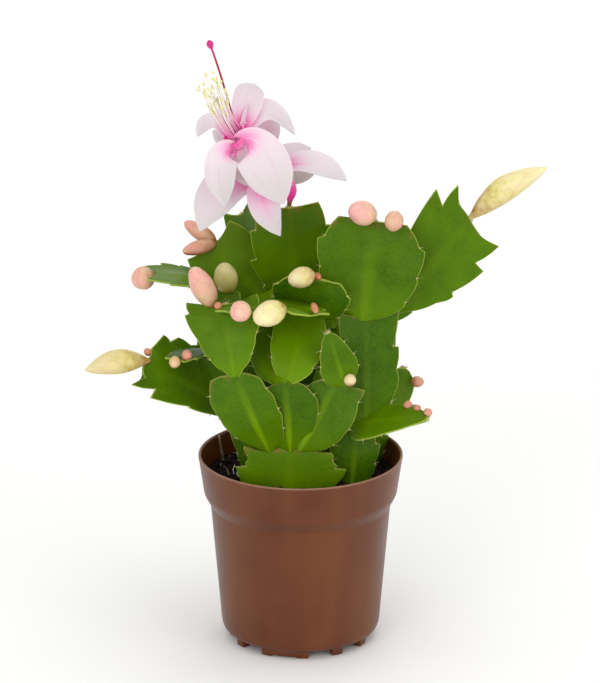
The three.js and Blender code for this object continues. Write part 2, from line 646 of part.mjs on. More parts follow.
// A block of the foot ring between two angles, from a height up into the pot's floor. Angles start at the
// viewer's side and run to the right.
function ringBlock(fromAngle, toAngle, foot) {
  const steps = Math.max(2, Math.round((toAngle - fromAngle) / 6));
  const outline = [];
  for (let i = 0; i <= steps; i++) {
    const a = degrees(fromAngle + ((toAngle - fromAngle) * i) / steps);
    outline.push(new THREE.Vector2(FEET.outer * Math.sin(a), -FEET.outer * Math.cos(a)));
  }
  for (let i = steps; i >= 0; i--) {
    const a = degrees(fromAngle + ((toAngle - fromAngle) * i) / steps);
    outline.push(new THREE.Vector2(FEET.inner * Math.sin(a), -FEET.inner * Math.cos(a)));
  }
  const depth = POT.floorUnder + FEET.sunk - foot;
  const block = new THREE.ExtrudeGeometry(new THREE.Shape(outline), { depth, bevelEnabled: false });
  block.translate(0, 0, foot);
  return toSolid(block);
}

// The peat: it fills the pot to a little below the rim, with a gently uneven top and a slot for each stem.
function makeSoil(slots) {
  const band = (POT.rimRadius - POT.bandFootRadius) / (POT.rimHeight - POT.bandFoot);
  const edge = POT.bandFootRadius - POT.wall - CLEARANCE + band * (SOIL.height - POT.bandFoot);
  const profile = [
    [0, POT.floorTop + CLEARANCE],
    [SOIL.floorRadius, POT.floorTop + CLEARANCE],
    [POT.baseRadius - POT.wall - CLEARANCE * 2, POT.baseTop + 1],
    [POT.bodyTopRadius - POT.wall - CLEARANCE * 1.5, POT.bodyTop + CLEARANCE],
    [edge, SOIL.height],
  ];
  for (let i = SOIL.rings - 1; i >= 0; i--) {
    profile.push([(edge * i) / SOIL.rings, SOIL.height + 0.01]);
  }
  const geometry = turned(profile, [0, 0, 0], [0, 0, 1], SOIL.sides);
  const position = geometry.attributes.position;
  for (let i = 0; i < position.count; i++) {
    if (position.getZ(i) < SOIL.height + 0.005) continue;
    const x = position.getX(i);
    const y = position.getY(i);
    const wave = Math.sin(x * 0.31 + 1) * Math.cos(y * 0.27) + 0.5 * Math.sin(x * 0.7 - y * 0.5);
    position.setZ(i, SOIL.height + SOIL.swell * wave);
  }
  return slots.reduce((soil, slot) => soil.subtract(slot), toSolid(geometry));
}

// A bud: an egg with a narrow neck at its joint, from its foot to its tip. The smallest have fewer faces.
function makeBud(foot, tip, radius) {
  const small = radius < BUD.smallRadius;
  const length = tip.distanceTo(foot);
  const profile = (small ? BUD.smallOutline : BUD.outline).map(([t, r]) => [r * radius, t * length]);
  return toSolid(turned(profile, foot.toArray(), tip.toArray(), small ? BUD.smallSides : BUD.sides));
}

// What grows at a segment's tip starts inside the blade and is drawn out along its axis until it is clear.
function seated(make, start, direction, stem) {
  const step = direction.clone().normalize().multiplyScalar(CLEARANCE / 2);
  const foot = start.clone();
  while (!make(foot).intersect(stem).isEmpty()) foot.add(step);
  return make(foot.add(step));
}

// A round rod along a curve, closed at both ends.
function rod(points, radius, sides, steps) {
  const outline = new THREE.Shape();
  for (let i = 0; i < sides; i++) {
    const a = (2 * Math.PI * i) / sides;
    const move = i === 0 ? "moveTo" : "lineTo";
    outline[move](radius * Math.cos(a), radius * Math.sin(a));
  }
  const path = new THREE.CatmullRomCurve3(points);
  return toSolid(new THREE.ExtrudeGeometry(outline, { steps, bevelEnabled: false, extrudePath: path }));
}

// The point at a distance along the tube, moved out from its axis towards another point.
function onTube(distance, outward, towards) {
  const foot = vec(FLOWER.tubeFoot);
  const axis = vec(FLOWER.throat).sub(foot).normalize();
  const point = foot.addScaledVector(axis, distance);
  const away = towards.clone().sub(point);
  away.addScaledVector(axis, -away.dot(axis)).normalize();
  return point.addScaledVector(away, outward);
}

function tubeRadius(distance) {
  const outer = TUBE.slice(1, 6);
  const next = outer.findIndex(([, h]) => h >= distance);
  const [r0, h0] = outer[next - 1];
  const [r1, h1] = outer[next];
  return r0 + ((r1 - r0) * (distance - h0)) / (h1 - h0);
}

// A petal: a thin curved plate through its root on the tube, its middle and its tip.
function petalGeometry([distance, middle, tip, width, [heading, rise]]) {
  const mid = vec(middle);
  const root = onTube(distance, tubeRadius(distance) - 0.25, mid);
  const end = vec(tip);
  const control = mid.clone().multiplyScalar(2).addScaledVector(root, -0.5).addScaledVector(end, -0.5);
  const curve = new THREE.QuadraticBezierCurve3(root, control, end);
  const look = lookVector(heading, rise);
  const faces = [1, -1].map((face) =>
    PETAL_EDGE.map(([v, half]) => {
      const along = curve.getTangent(v);
      const out = look.clone().addScaledVector(along, -look.dot(along)).normalize();
      const across = along.clone().cross(out);
      return PETAL.columns.map((column) => {
        const p = curve.getPoint(v);
        const lift = PETAL.cup * width * half * (column * column - 0.5);
        p.addScaledVector(across, (column * half * width) / 2);
        p.addScaledVector(out, lift + face * PETAL.half);
        return p.toArray();
      });
    }),
  );
  return plate(faces[0], faces[1]);
}

function makePetals() {
  let flower = toSolid(turned(TUBE, FLOWER.tubeFoot, FLOWER.throat, TUBE_SIDES));
  for (const petal of PETALS) flower = flower.add(toSolid(petalGeometry(petal)));
  return flower;
}

// The stamens: a ring of filaments from the floor of the throat, each ending in an anther. The ring is open
// where the style leans out of it.
function makeStamens() {
  const foot = vec(FLOWER.tubeFoot);
  const throat = vec(FLOWER.throat);
  const axis = throat.clone().sub(foot).normalize();
  const onward = vec(FLOWER.stamensTowards).sub(throat).normalize();
  const u = axis.clone().cross(new THREE.Vector3(0, 0, 1)).normalize();
  const w = axis.clone().cross(u);
  const root = foot.clone().addScaledVector(axis, STAMENS.root);
  const outside = STAMENS.ring + 0.25;
  const inside = outside - STAMENS.ringWall;
  const ring = [
    [inside, 0],
    [outside, 0],
    [outside, 1],
    [inside, 1],
    [inside, 0],
  ];
  let bundle = toSolid(turned(ring, root.toArray(), throat.toArray(), STAMENS.ringSides));
  for (let i = 1; i < STAMENS.places; i++) {
    const a = degrees(STAMENS.opening + (360 * i) / STAMENS.places);
    const side = u.clone().multiplyScalar(Math.cos(a)).addScaledVector(w, Math.sin(a));
    const reach = STAMENS.shortest + STAMENS.vary * draw(i + 40);
    const path = [
      root.clone().addScaledVector(side, STAMENS.ring - 0.1).addScaledVector(axis, 0.5),
      throat.clone().addScaledVector(side, STAMENS.ring + 0.1),
      throat.clone().addScaledVector(side, STAMENS.ring + 0.7).addScaledVector(onward, reach * 0.5),
      throat.clone().addScaledVector(side, STAMENS.ring + STAMENS.spread).addScaledVector(onward, reach),
    ];
    bundle = bundle.add(rod(path, STAMENS.radius, STAMENS.sides, STAMENS.steps));
    const tip = path[3];
    const beyond = tip.clone().add(onward);
    bundle = bundle.add(toSolid(turned(STAMENS.anther, tip.toArray(), beyond.toArray(), 4)));
  }
  return bundle;
}

// The style with its stigma, in the middle of the stamens.
function makeStyle() {
  const foot = vec(FLOWER.tubeFoot);
  const throat = vec(FLOWER.throat);
  const stigma = vec(FLOWER.stigma);
  const axis = throat.clone().sub(foot).normalize();
  const middle = throat.clone().lerp(stigma, 0.5).add(vec(STYLE.bow));
  const path = [foot.clone().addScaledVector(axis, STYLE.root), throat, middle, stigma];
  const style = rod(path, STYLE.radius, STYLE.sides, STYLE.steps);
  const onward = stigma.clone().sub(middle).normalize();
  const knob = [[0, -0.8], [1.2, 0.6], [1.3, 1.6], [0.6, 2.8], [0, 2.9]];
  return style.add(toSolid(turned(knob, stigma.toArray(), stigma.clone().add(onward).toArray(), 6)));
}

// The ovary: its profile is [radius, share of the length].
function makeOvary(foot) {
  const length = vec(FLOWER.ovaryTop).distanceTo(foot) - CLEARANCE;
  const profile = OVARY.map(([radius, share]) => [radius, share * length]);
  return toSolid(turned(profile, foot.toArray(), FLOWER.ovaryTop, OVARY_SIDES));
}

const plant = new THREE.Group();
plant.name = "potted_christmas_cactus";

const placed = {};
const slots = [];
const stems = [];
const stemOf = {};
let seed = 1;
for (const [stemName, rows] of Object.entries(STEMS)) {
  let solid = null;
  for (const row of rows) {
    const place = placeSegment(row, placed);
    placed[place.name] = place;
    const piece = toSolid(segmentGeometry(place, seed));
    solid = solid ? solid.add(piece) : piece;
    if (place.rooted) slots.push(slotSolid(place));
    seed += 3;
  }
  for (const [segmentName] of rows) stemOf[segmentName] = solid;
  stems.push(toMesh(stemName, solid, MATERIALS.stem));
}

plant.add(toMesh("pot", makePot(), MATERIALS.pot));
plant.add(toMesh("soil", makeSoil(slots), MATERIALS.soil));
plant.add(...stems);

for (const [name, on, offset, reach, radius, colour] of BUDS) {
  const tip = placed[on].tip.clone().add(vec(offset)).add(vec(reach));
  const start = tip.clone().addScaledVector(vec(reach), -1 - BUD.sunk / vec(reach).length());
  const bud = seated((foot) => makeBud(foot, tip, radius), start, vec(reach), stemOf[on]);
  plant.add(toMesh(name, bud, MATERIALS[colour]));
}

const ovaryReach = vec(FLOWER.ovaryTop).sub(vec(FLOWER.ovaryBase));
const ovary = seated(makeOvary, vec(FLOWER.ovaryBase), ovaryReach, stemOf.middle_top);
plant.add(toMesh("flower_ovary", ovary, MATERIALS.ovary));
plant.add(toMesh("flower_petals", makePetals(), MATERIALS.petal));
plant.add(toMesh("flower_stamens", makeStamens(), MATERIALS.stamen));
plant.add(toMesh("flower_style", makeStyle(), MATERIALS.style));

// Centre the whole on its own box, standing on the ground.
const box = new THREE.Box3().setFromObject(plant);
const centre = box.getCenter(new THREE.Vector3());
plant.position.set(-centre.x, -centre.y, -box.min.z);

const part = new THREE.Group();
part.add(plant);
export default part;
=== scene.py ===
# A Christmas cactus in a small plastic nursery pot: flat toothed stem segments, many buds, one open flower.
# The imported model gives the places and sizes, and the pieces here are its finished surfaces. Metres, +Z up.
import json
import math
import random

import bmesh
import bpy
from mathutils import Matrix, Vector, noise

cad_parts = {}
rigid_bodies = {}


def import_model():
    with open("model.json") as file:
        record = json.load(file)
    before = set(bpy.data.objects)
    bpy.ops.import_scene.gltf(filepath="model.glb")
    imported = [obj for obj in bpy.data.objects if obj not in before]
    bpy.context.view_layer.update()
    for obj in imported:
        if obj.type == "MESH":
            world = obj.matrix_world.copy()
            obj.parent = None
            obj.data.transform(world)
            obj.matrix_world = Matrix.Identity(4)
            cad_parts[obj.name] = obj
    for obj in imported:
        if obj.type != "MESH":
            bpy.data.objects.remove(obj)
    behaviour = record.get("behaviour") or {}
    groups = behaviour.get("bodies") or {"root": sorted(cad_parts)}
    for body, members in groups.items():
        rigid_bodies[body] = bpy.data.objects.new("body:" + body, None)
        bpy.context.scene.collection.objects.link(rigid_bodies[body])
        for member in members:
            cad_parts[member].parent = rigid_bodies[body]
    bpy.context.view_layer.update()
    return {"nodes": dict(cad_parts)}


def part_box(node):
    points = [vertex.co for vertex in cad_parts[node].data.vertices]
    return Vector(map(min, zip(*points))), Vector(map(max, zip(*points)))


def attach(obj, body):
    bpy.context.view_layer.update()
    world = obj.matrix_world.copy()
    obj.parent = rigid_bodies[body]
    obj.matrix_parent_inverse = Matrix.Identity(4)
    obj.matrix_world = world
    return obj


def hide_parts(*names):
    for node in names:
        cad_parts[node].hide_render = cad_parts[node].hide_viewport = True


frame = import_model()


# The setting: a sheet of pale matt paper under large soft lights, as for a catalogue picture. The camera
# stands two metres off with a long lens and looks down a little, as the photograph does. Pieces are drawn in
# millimetres about the foot of the pot's axis, and TO_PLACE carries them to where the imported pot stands.
MM = 0.001
pot_low, pot_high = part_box("pot")
TO_PLACE = Matrix.Translation(((pot_low.x + pot_high.x) / 2, (pot_low.y + pot_high.y) / 2, pot_low.z))
TO_PLACE = TO_PLACE @ Matrix.Scale(MM, 4)
CAMERA_AT = Vector((0, -1877, 756.6))
CAMERA_LOOKS_AT = Vector((-0.2, 13.2, 101.9))
CAMERA_LENS = 307.9
PLANT_MIDDLE = Vector((0, 0, 110))
SOFTBOXES = [  # name, place, size across and watts
    ("key_softbox", (-450, -1150, 600), 800, 5.0),
    ("fill_softbox", (900, -850, 350), 900, 3.2),
    ("top_softbox", (100, 100, 1300), 1100, 3.0),
    ("back_softbox", (200, 1100, 700), 900, 2.2),
]
DAYLIGHT = 0.74
FLOOR_SIZE = 9


def paint(code):
    """An sRGB colour, such as "75452e", as the linear colour that a shader takes."""
    channels = [int(code[i : i + 2], 16) / 255 for i in (0, 2, 4)]
    return (*(c / 12.92 if c < 0.04045 else ((c + 0.055) / 1.055) ** 2.4 for c in channels), 1)


def feed(tree, node, inputs):
    """Sets a node's inputs. Each is a value, an output, or a node whose first live output is linked."""
    for key, value in inputs.items():
        if isinstance(value, bpy.types.Node):
            value = next(output for output in value.outputs if output.enabled)
        if isinstance(value, bpy.types.NodeSocket):
            tree.links.new(value, node.inputs[key])
        else:
            node.inputs[key].default_value = value


def add_node(tree, kind, inputs=None, **settings):
    """Adds a shader node of a kind with its settings and its inputs."""
    node = tree.nodes.new("ShaderNode" + kind)
    for key, value in settings.items():
        setattr(node, key, value)
    feed(tree, node, inputs or {})
    return node


def new_finish(name):
    """A new material, its node tree and the shader that its colours go into."""
    material = bpy.data.materials.new(name)
    material.use_nodes = True
    return material, material.node_tree, material.node_tree.nodes["Principled BSDF"]


def turn_to(from_point, to_point):
    """The turn that points a camera or a lamp from one point to another."""
    return (to_point - from_point).to_track_quat("-Z", "Y").to_euler()


camera = bpy.data.objects.new("camera", bpy.data.cameras.new("camera"))
camera.data.lens = CAMERA_LENS
camera.location = TO_PLACE @ CAMERA_AT
camera.rotation_euler = turn_to(CAMERA_AT, CAMERA_LOOKS_AT)
bpy.context.collection.objects.link(camera)
bpy.context.scene.camera = camera
bpy.context.scene.view_settings.view_transform = "Standard"

for name, place, size, watts in SOFTBOXES:
    lamp = bpy.data.objects.new(name, bpy.data.lights.new(name, "AREA"))
    lamp.data.size = size * MM
    lamp.data.energy = watts
    lamp.location = TO_PLACE @ Vector(place)
    lamp.rotation_euler = turn_to(Vector(place), PLANT_MIDDLE)
    bpy.context.collection.objects.link(lamp)

world = bpy.data.worlds.new("daylight")
world.use_nodes = True
world.node_tree.nodes["Background"].inputs["Color"].default_value = paint("ffffff")
world.node_tree.nodes["Background"].inputs["Strength"].default_value = DAYLIGHT
bpy.context.scene.world = world

# Matt paper has no shine, and its fibres keep the white from looking flat.
paper, tree, shader = new_finish("pale_matt_paper")
on_piece = add_node(tree, "TexCoord").outputs["Object"]
fibres = add_node(tree, "TexNoise", {"Vector": on_piece, "Scale": 1 / (1.1 * MM)})
shade = add_node(tree, "Mix", {0: fibres, 6: paint("fefefd"), 7: paint("fbfbf9")}, data_type="RGBA")
feed(tree, shader, {"Base Color": shade, "Roughness": 0.9})

bm = bmesh.new()
bmesh.ops.create_grid(bm, x_segments=2, y_segments=2, size=FLOOR_SIZE / 2)
floor_mesh = bpy.data.meshes.new("floor")
bm.to_mesh(floor_mesh)
bm.free()
floor_mesh.materials.append(paper)
floor = bpy.data.objects.new("floor", floor_mesh)
bpy.context.collection.objects.link(floor)


# The pot: a thin nursery pot of brown polypropylene, moulded in one shot, with a deep band round the rim, a
# drained floor and a ring of small feet. The mould leaves it satin, with faint upright flow marks.
POT_SPIN_STEPS = 144
FILLET_STEPS = 4
FLOOR_UNDER = 2.2
POT_OUTLINE = [  # radius, height and fillet, from under the floor, up the outside and down the inside
    (0, FLOOR_UNDER, 0),
    (23.6, FLOOR_UNDER, 0.6),
    (26.3, 3.4, 1.6),
    (27.1, 5.5, 1.2),
    (30.85, 48.3, 0.35),
    (31.5, 49.6, 0.5),
    (32.7, 51.8, 0.8),
    (33.1, 52.8, 0.7),
    (34.85, 64.6, 0.4),
    (35.0, 65.2, 0.25),
    (35.0, 66.0, 0.35),
    (34.2, 66.0, 0.35),
    (33.9, 65.3, 0.3),
    (32.2, 53.1, 0.8),
    (31.6, 51.9, 0.6),
    (30.5, 50.0, 0.6),
    (29.85, 48.6, 0.5),
    (26.1, 5.9, 1.5),
    (23.9, 3.4, 1.5),
    (0, 3.4, 0),
]
FEET = {"count": 12, "inner": 22, "outer": 24.5, "wide": 10, "first": 1.5, "sunk": 0.5, "round": 0.45}
RIBS = {"from": (-1, 3, 7), "foot": 0.6}
DRAINS = {"count": 4, "radius": 2.5, "on_radius": 14, "first": 15, "sides": 32, "middle": 3, "depth": 8}
# Heights in mm where shade is painted into the step, and how deep it is.
STEP_PAINTED_SHADE = {"edges": (47.8, 49, 51.5, 53), "depth": 0.16}
# Heights in mm of the highlight painted pale along the rim top, and its share.
RIM_PAINTED_HIGHLIGHT = {"foot": 65.3, "top": 65.9, "share": 0.6}


def filleted(corners):
    """An outline's points, from corners of radius, height and fillet: each fillet is an arc near enough."""
    points = []
    for i, (radius, height, fillet) in enumerate(corners):
        here = Vector((radius, 0, height))
        if not fillet:
            points.append(here)
            continue
        before = Vector((corners[i - 1][0], 0, corners[i - 1][1])) - here
        after = Vector((corners[i + 1][0], 0, corners[i + 1][1])) - here
        start = here + before.normalized() * min(fillet, before.length * 0.45)
        end = here + after.normalized() * min(fillet, after.length * 0.45)
        for k in range(FILLET_STEPS + 1):
            t = k / FILLET_STEPS
            points.append(start * (1 - t) ** 2 + here * 2 * t * (1 - t) + end * t**2)
    return points


def spin_outline(bm, points, steps):
    """A closed body of revolution about the Z axis from an outline that starts and ends on it."""
    verts = [bm.verts.new(point) for point in points]
    edges = [bm.edges.new(pair) for pair in zip(verts, verts[1:])]
    bmesh.ops.spin(
        bm, geom=verts + edges, cent=(0, 0, 0), axis=(0, 0, 1), angle=math.tau, steps=steps, use_merge=True
    )
    bmesh.ops.remove_doubles(bm, verts=bm.verts, dist=1e-4)
    bmesh.ops.recalc_face_normals(bm, faces=bm.faces)


def to_object(name, bm, material):
    """Turns a body drawn in millimetres about the pot's axis into an object in its place."""
    bmesh.ops.transform(bm, matrix=TO_PLACE, verts=bm.verts)
    mesh = bpy.data.meshes.new(name)
    bm.to_mesh(mesh)
    bm.free()
    mesh.shade_smooth()
    mesh.materials.append(material)
    made = bpy.data.objects.new(name, mesh)
    bpy.context.collection.objects.link(made)
    return made


def settle(piece, slot, *nodes):
    """The piece belongs to the plant and stands for these nodes of the model; its slot is not used."""
    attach(piece, "root")
    if nodes:
        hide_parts(*nodes)


# Moulded polypropylene is satin and a little cloudy, with shade painted darker in the step and a highlight
# painted pale along the top of the rim.
polypropylene, tree, shader = new_finish("brown_moulded_polypropylene")
on_piece = add_node(tree, "TexCoord").outputs["Object"]
upright = add_node(tree, "Mapping", {"Vector": on_piece, "Scale": (1, 1, 0.12)})
flow = add_node(tree, "TexNoise", {"Vector": upright, "Scale": 1 / (12 * MM), "Detail": 3})
cloud = add_node(tree, "TexNoise", {"Vector": on_piece, "Scale": 1 / (26 * MM), "Detail": 2})
marks = add_node(tree, "Math", {0: flow, 1: cloud}, operation="ADD")
strength = add_node(tree, "MapRange", {0: marks, 1: 0.75, 2: 1.25})
brown = add_node(tree, "Mix", {0: strength, 6: paint("5a2809"), 7: paint("693712")}, data_type="RGBA")
height = add_node(tree, "SeparateXYZ", {0: on_piece}).outputs[2]
# Painted shade: the brown is darkened across the step under the band, where shade falls.
shade_foot, shade_full, shade_fades, shade_top = (edge * MM for edge in STEP_PAINTED_SHADE["edges"])
above_step = add_node(tree, "MapRange", {0: height, 1: shade_foot, 2: shade_full})
shade_depth = {0: height, 1: shade_fades, 2: shade_top, 3: STEP_PAINTED_SHADE["depth"], 4: 0}
below_band = add_node(tree, "MapRange", shade_depth)
painted_step_shade = add_node(tree, "Math", {0: above_step, 1: below_band}, operation="MULTIPLY")
brown_with_step_shade = add_node(tree, "Mix", {0: painted_step_shade, 6: brown, 7: paint("3a1804")}, data_type="RGBA")
# Painted highlight: the top of the rim is painted pale, as if lit from above.
rim_highlight_range = {0: height, 1: RIM_PAINTED_HIGHLIGHT["foot"] * MM, 2: RIM_PAINTED_HIGHLIGHT["top"] * MM, 4: RIM_PAINTED_HIGHLIGHT["share"]}
rim_highlight_share = add_node(tree, "MapRange", rim_highlight_range)
brown_with_rim_highlight = add_node(tree, "Mix", {0: rim_highlight_share, 6: brown_with_step_shade, 7: paint("a8826c")}, data_type="RGBA")
grain = add_node(tree, "TexNoise", {"Vector": on_piece, "Scale": 1 / (0.45 * MM), "Detail": 2})
satin = add_node(tree, "MapRange", {0: cloud, 1: 0.3, 2: 0.7, 3: 0.33, 4: 0.43})
bump = add_node(tree, "Bump", {"Height": grain, "Strength": 0.35, "Distance": 0.02 * MM})
surface = {
    "Base Color": brown_with_rim_highlight,
    "Roughness": satin,
    "Normal": bump,
    "IOR": 1.49,
    "Specular IOR Level": 0.35,
}
feed(tree, shader, surface)

bm = bmesh.new()
spin_outline(bm, filleted(POT_OUTLINE), POT_SPIN_STEPS)
pot = to_object("nursery_pot", bm, polypropylene)


def foot_block(from_angle, to_angle, foot):
    """A rounded block of the foot ring. Angles start at the viewer's side and run to the right."""
    bm = bmesh.new()
    corners = [(FEET["inner"], foot), (FEET["outer"], foot)]
    corners += [(radius, FLOOR_UNDER + FEET["sunk"]) for radius in (FEET["outer"], FEET["inner"])]
    face = bm.faces.new([bm.verts.new((0, -radius, height)) for radius, height in corners])
    bmesh.ops.rotate(bm, verts=face.verts, matrix=Matrix.Rotation(math.radians(from_angle), 3, "Z"))
    turn = math.radians(to_angle - from_angle)
    steps = max(3, round((to_angle - from_angle) / 3))
    bmesh.ops.spin(bm, geom=[face], cent=(0, 0, 0), axis=(0, 0, 1), angle=turn, steps=steps)
    bmesh.ops.recalc_face_normals(bm, faces=bm.faces)
    sharp = [edge for edge in bm.edges if edge.calc_face_angle(0) > math.radians(40)]
    bmesh.ops.bevel(
        bm, geom=sharp, offset=FEET["round"], segments=2, affect="EDGES", profile=0.5, material=-1
    )
    return to_object("pot_foot", bm, polypropylene)


feet = bpy.data.collections.new("pot_feet")
pitch = 360 / FEET["count"]
for i in range(FEET["count"]):
    middle = FEET["first"] + pitch * i
    feet.objects.link(foot_block(middle - FEET["wide"] / 2, middle + FEET["wide"] / 2, 0))
for i in RIBS["from"]:
    feet.objects.link(foot_block(FEET["first"] + pitch * i, FEET["first"] + pitch * (i + 1), RIBS["foot"]))

drains = bpy.data.collections.new("pot_drains")
for i in range(DRAINS["count"]):
    angle = math.radians(360 / DRAINS["count"] * i + DRAINS["first"])
    place = (DRAINS["on_radius"] * math.sin(angle), DRAINS["on_radius"] * math.cos(angle), DRAINS["middle"])
    bm = bmesh.new()
    bmesh.ops.create_cone(
        bm,
        cap_ends=True,
        segments=DRAINS["sides"],
        radius1=DRAINS["radius"],
        radius2=DRAINS["radius"],
        depth=DRAINS["depth"],
        matrix=Matrix.Translation(place),
    )
    drains.objects.link(to_object("pot_drain", bm, polypropylene))

for operation, tools in (("UNION", feet), ("DIFFERENCE", drains)):
    modifier = pot.modifiers.new(tools.name, "BOOLEAN")
    modifier.operation = operation
    modifier.operand_type = "COLLECTION"
    modifier.collection = tools
    modifier.solver = "EXACT"
bpy.context.view_layer.update()
moulded = bpy.data.meshes.new_from_object(pot.evaluated_get(bpy.context.evaluated_depsgraph_get()))
pot.modifiers.clear()
pot.data = moulded
moulded.set_sharp_from_angle(angle=math.radians(35))
for tools in (feet, drains):
    for tool in list(tools.objects):
        bpy.data.objects.remove(tool)
    bpy.data.collections.remove(tools)
settle(pot, "pot", "pot")


# The peat: dark and crumbly, pressed round the stems' feet a little below the rim. Loose crumbs, pale root
# ends and a bit of stick lie on it, as in any nursery pot.
PEAT_HEIGHT = 58
PEAT_SWELL = 0.7
PEAT_EDGE = 32.5
PEAT_RINGS = 46
PEAT_SPIN_STEPS = 190
PEAT_SEED = 11
PEAT_OUTLINE = [(0, 3.7), (23, 3.7), (25.6, 6.5), (29.4, 48.6), (PEAT_EDGE, PEAT_HEIGHT)]  # radius, height
PEAT_CRUMBLE = [(0.9, 0.55), (0.38, 0.9), (0.16, 1.9)]  # height in mm, bumps in a mm
CRUMBS = {"count": 900, "least": 0.35, "most": 1.15, "rough": 0.22, "lumps": 1.7}
ROOTS = {"count": 46, "radius": 0.16, "length": 6.5, "steps": 5, "sides": 6, "taper": 0.6, "arch": 0.5}
TUFT_RADII = [0.22, 0.18, 0.1]
TUFT = [  # the foot, knee and tip of each root thread that stands up at the left
    ((-19.6, -3, 57.8), (-20.8, -1.5, 60.2), (-22.6, 0.5, 61.2)),
    ((-20.6, -4, 57.8), (-21.8, -3.5, 59.8), (-21.2, -2, 61.8)),
    ((-22.4, -1, 57.8), (-23.2, 0, 59.9), (-22.6, 2, 61)),
    ((-24.4, 0, 57.8), (-25.2, 1.5, 59.6), (-26.4, 2, 60.8)),
    ((-18.8, -6, 57.8), (-19.6, -6.4, 59.8), (-21.4, -6, 60.4)),
]
STICK_RADII = [0.55, 0.5, 0.4, 0.3]
STICK = [(-26.8, 15.6, 58), (-27.3, 16.1, 61), (-27.8, 16.6, 64), (-28.1, 16.9, 66.5)]


def peat_top(x, y):
    """The height of the peat's uneven top."""
    wave = math.sin(x * 0.31 + 1) * math.cos(y * 0.27) + 0.5 * math.sin(x * 0.7 - y * 0.5)
    crumble = sum(size * noise.noise(Vector((x * rate, y * rate, size * 10))) for size, rate in PEAT_CRUMBLE)
    return PEAT_HEIGHT + PEAT_SWELL * wave + crumble


def stand(point, heading):
    """The move that stands a body drawn up the Z axis at a point, along a heading."""
    return Matrix.Translation(point) @ heading.to_track_quat("Z", "Y").to_matrix().to_4x4()


def taper(radius, loss, steps):
    """The radii of a rod that loses a share of its radius over its steps."""
    return [radius * (1 - loss * k / steps) for k in range(steps + 1)]


def grow_rod(bm, points, radii, sides):
    """A round rod through points, with a radius for each: a ring drawn on from point to point."""
    leaf = bm.verts.layers.float_vector.get("leaf")
    heading = points[1] - points[0]
    start = stand(points[0], heading)
    ring = bmesh.ops.create_circle(bm, segments=sides, radius=radii[0], matrix=start)["verts"]
    edges = list(dict.fromkeys(edge for vert in ring for edge in vert.link_edges))
    ends = list(edges)
    for i in range(1, len(points)):
        if leaf:
            for vert in ring:
                vert[leaf] = (0, (i - 1) / (len(points) - 1), 0)
        drawn = bmesh.ops.extrude_edge_only(bm, edges=edges)["geom"]
        ring = [element for element in drawn if isinstance(element, bmesh.types.BMVert)]
        edges = [element for element in drawn if isinstance(element, bmesh.types.BMEdge)]
        onward = points[min(i + 1, len(points) - 1)] - points[i - 1]
        turn = heading.rotation_difference(onward).to_matrix().to_4x4()
        move = Matrix.Translation(points[i]) @ turn @ Matrix.Scale(radii[i] / radii[i - 1], 4)
        bmesh.ops.transform(bm, matrix=move @ Matrix.Translation(-points[i - 1]), verts=ring)
        heading = onward
    if leaf:
        for vert in ring:
            vert[leaf] = (0, 1, 0)
    for rim in (ends, edges):
        bmesh.ops.edgeloop_fill(bm, edges=rim)


def to_template(bm):
    """A small body that is stamped many times, as a mesh in millimetres."""
    mesh = bpy.data.meshes.new("template")
    bm.to_mesh(mesh)
    bm.free()
    return mesh


def stamp(bm, template, matrix):
    """Adds a copy of a template to a body, moved, turned and resized."""
    copy = template.copy()
    copy.transform(matrix)
    bm.from_mesh(copy)
    bpy.data.meshes.remove(copy)


# Damp peat is nearly black, dull, clotted, with paler specks of bark and fibre.
peat, tree, shader = new_finish("dark_crumbly_peat")
on_piece = add_node(tree, "TexCoord").outputs["Object"]
clods = add_node(tree, "TexNoise", {"Vector": on_piece, "Scale": 1 / (2.4 * MM), "Detail": 5})
grit = add_node(tree, "TexNoise", {"Vector": on_piece, "Scale": 1 / (0.5 * MM), "Detail": 3})
wetness = add_node(tree, "MapRange", {0: clods, 1: 0.35, 2: 0.68})
dark = add_node(tree, "Mix", {0: wetness, 6: paint("0c0806"), 7: paint("2c1e16")}, data_type="RGBA")
speck = add_node(tree, "MapRange", {0: grit, 1: 0.66, 2: 0.74})
flecked = add_node(tree, "Mix", {0: speck, 6: dark, 7: paint("5b4636")}, data_type="RGBA")
bump = add_node(tree, "Bump", {"Height": grit, "Strength": 0.8, "Distance": 0.3 * MM})
feed(tree, shader, {"Base Color": flecked, "Normal": bump, "Roughness": 0.95, "Specular IOR Level": 0.2})

bm = bmesh.new()
body = [Vector((radius, 0, height)) for radius, height in PEAT_OUTLINE]
rings = [Vector((PEAT_EDGE * i / PEAT_RINGS, 0, PEAT_HEIGHT + 0.01)) for i in range(PEAT_RINGS - 1, -1, -1)]
spin_outline(bm, body + rings, PEAT_SPIN_STEPS)
for vert in bm.verts:
    if vert.co.z > PEAT_HEIGHT + 0.005:
        vert.co.z = peat_top(vert.co.x, vert.co.y)
settle(to_object("peat", bm, peat), "soil", "soil")

bm = bmesh.new()
bmesh.ops.create_icosphere(bm, subdivisions=1, radius=1)
crumb = to_template(bm)
bm = bmesh.new()
draw = random.Random(PEAT_SEED)
for i in range(CRUMBS["count"]):
    radius = math.sqrt(draw.random()) * (PEAT_EDGE - 1)
    angle = draw.uniform(0, math.tau)
    x, y = radius * math.sin(angle), radius * math.cos(angle)
    size = draw.uniform(CRUMBS["least"], CRUMBS["most"])
    flat = Matrix.Diagonal((size * draw.uniform(0.7, 1.3), size, size * draw.uniform(0.5, 0.9), 1))
    turn = Matrix.Rotation(draw.uniform(0, math.tau), 4, (draw.uniform(-1, 1), draw.uniform(-1, 1), 1))
    stamp(bm, crumb, Matrix.Translation((x, y, peat_top(x, y) + size * 0.25)) @ turn @ flat)
noise.seed_set(PEAT_SEED)
for vert in bm.verts:
    vert.co += CRUMBS["rough"] * noise.noise_vector(vert.co * CRUMBS["lumps"])
bpy.data.meshes.remove(crumb)
settle(to_object("peat_crumbs", bm, peat), "soil")

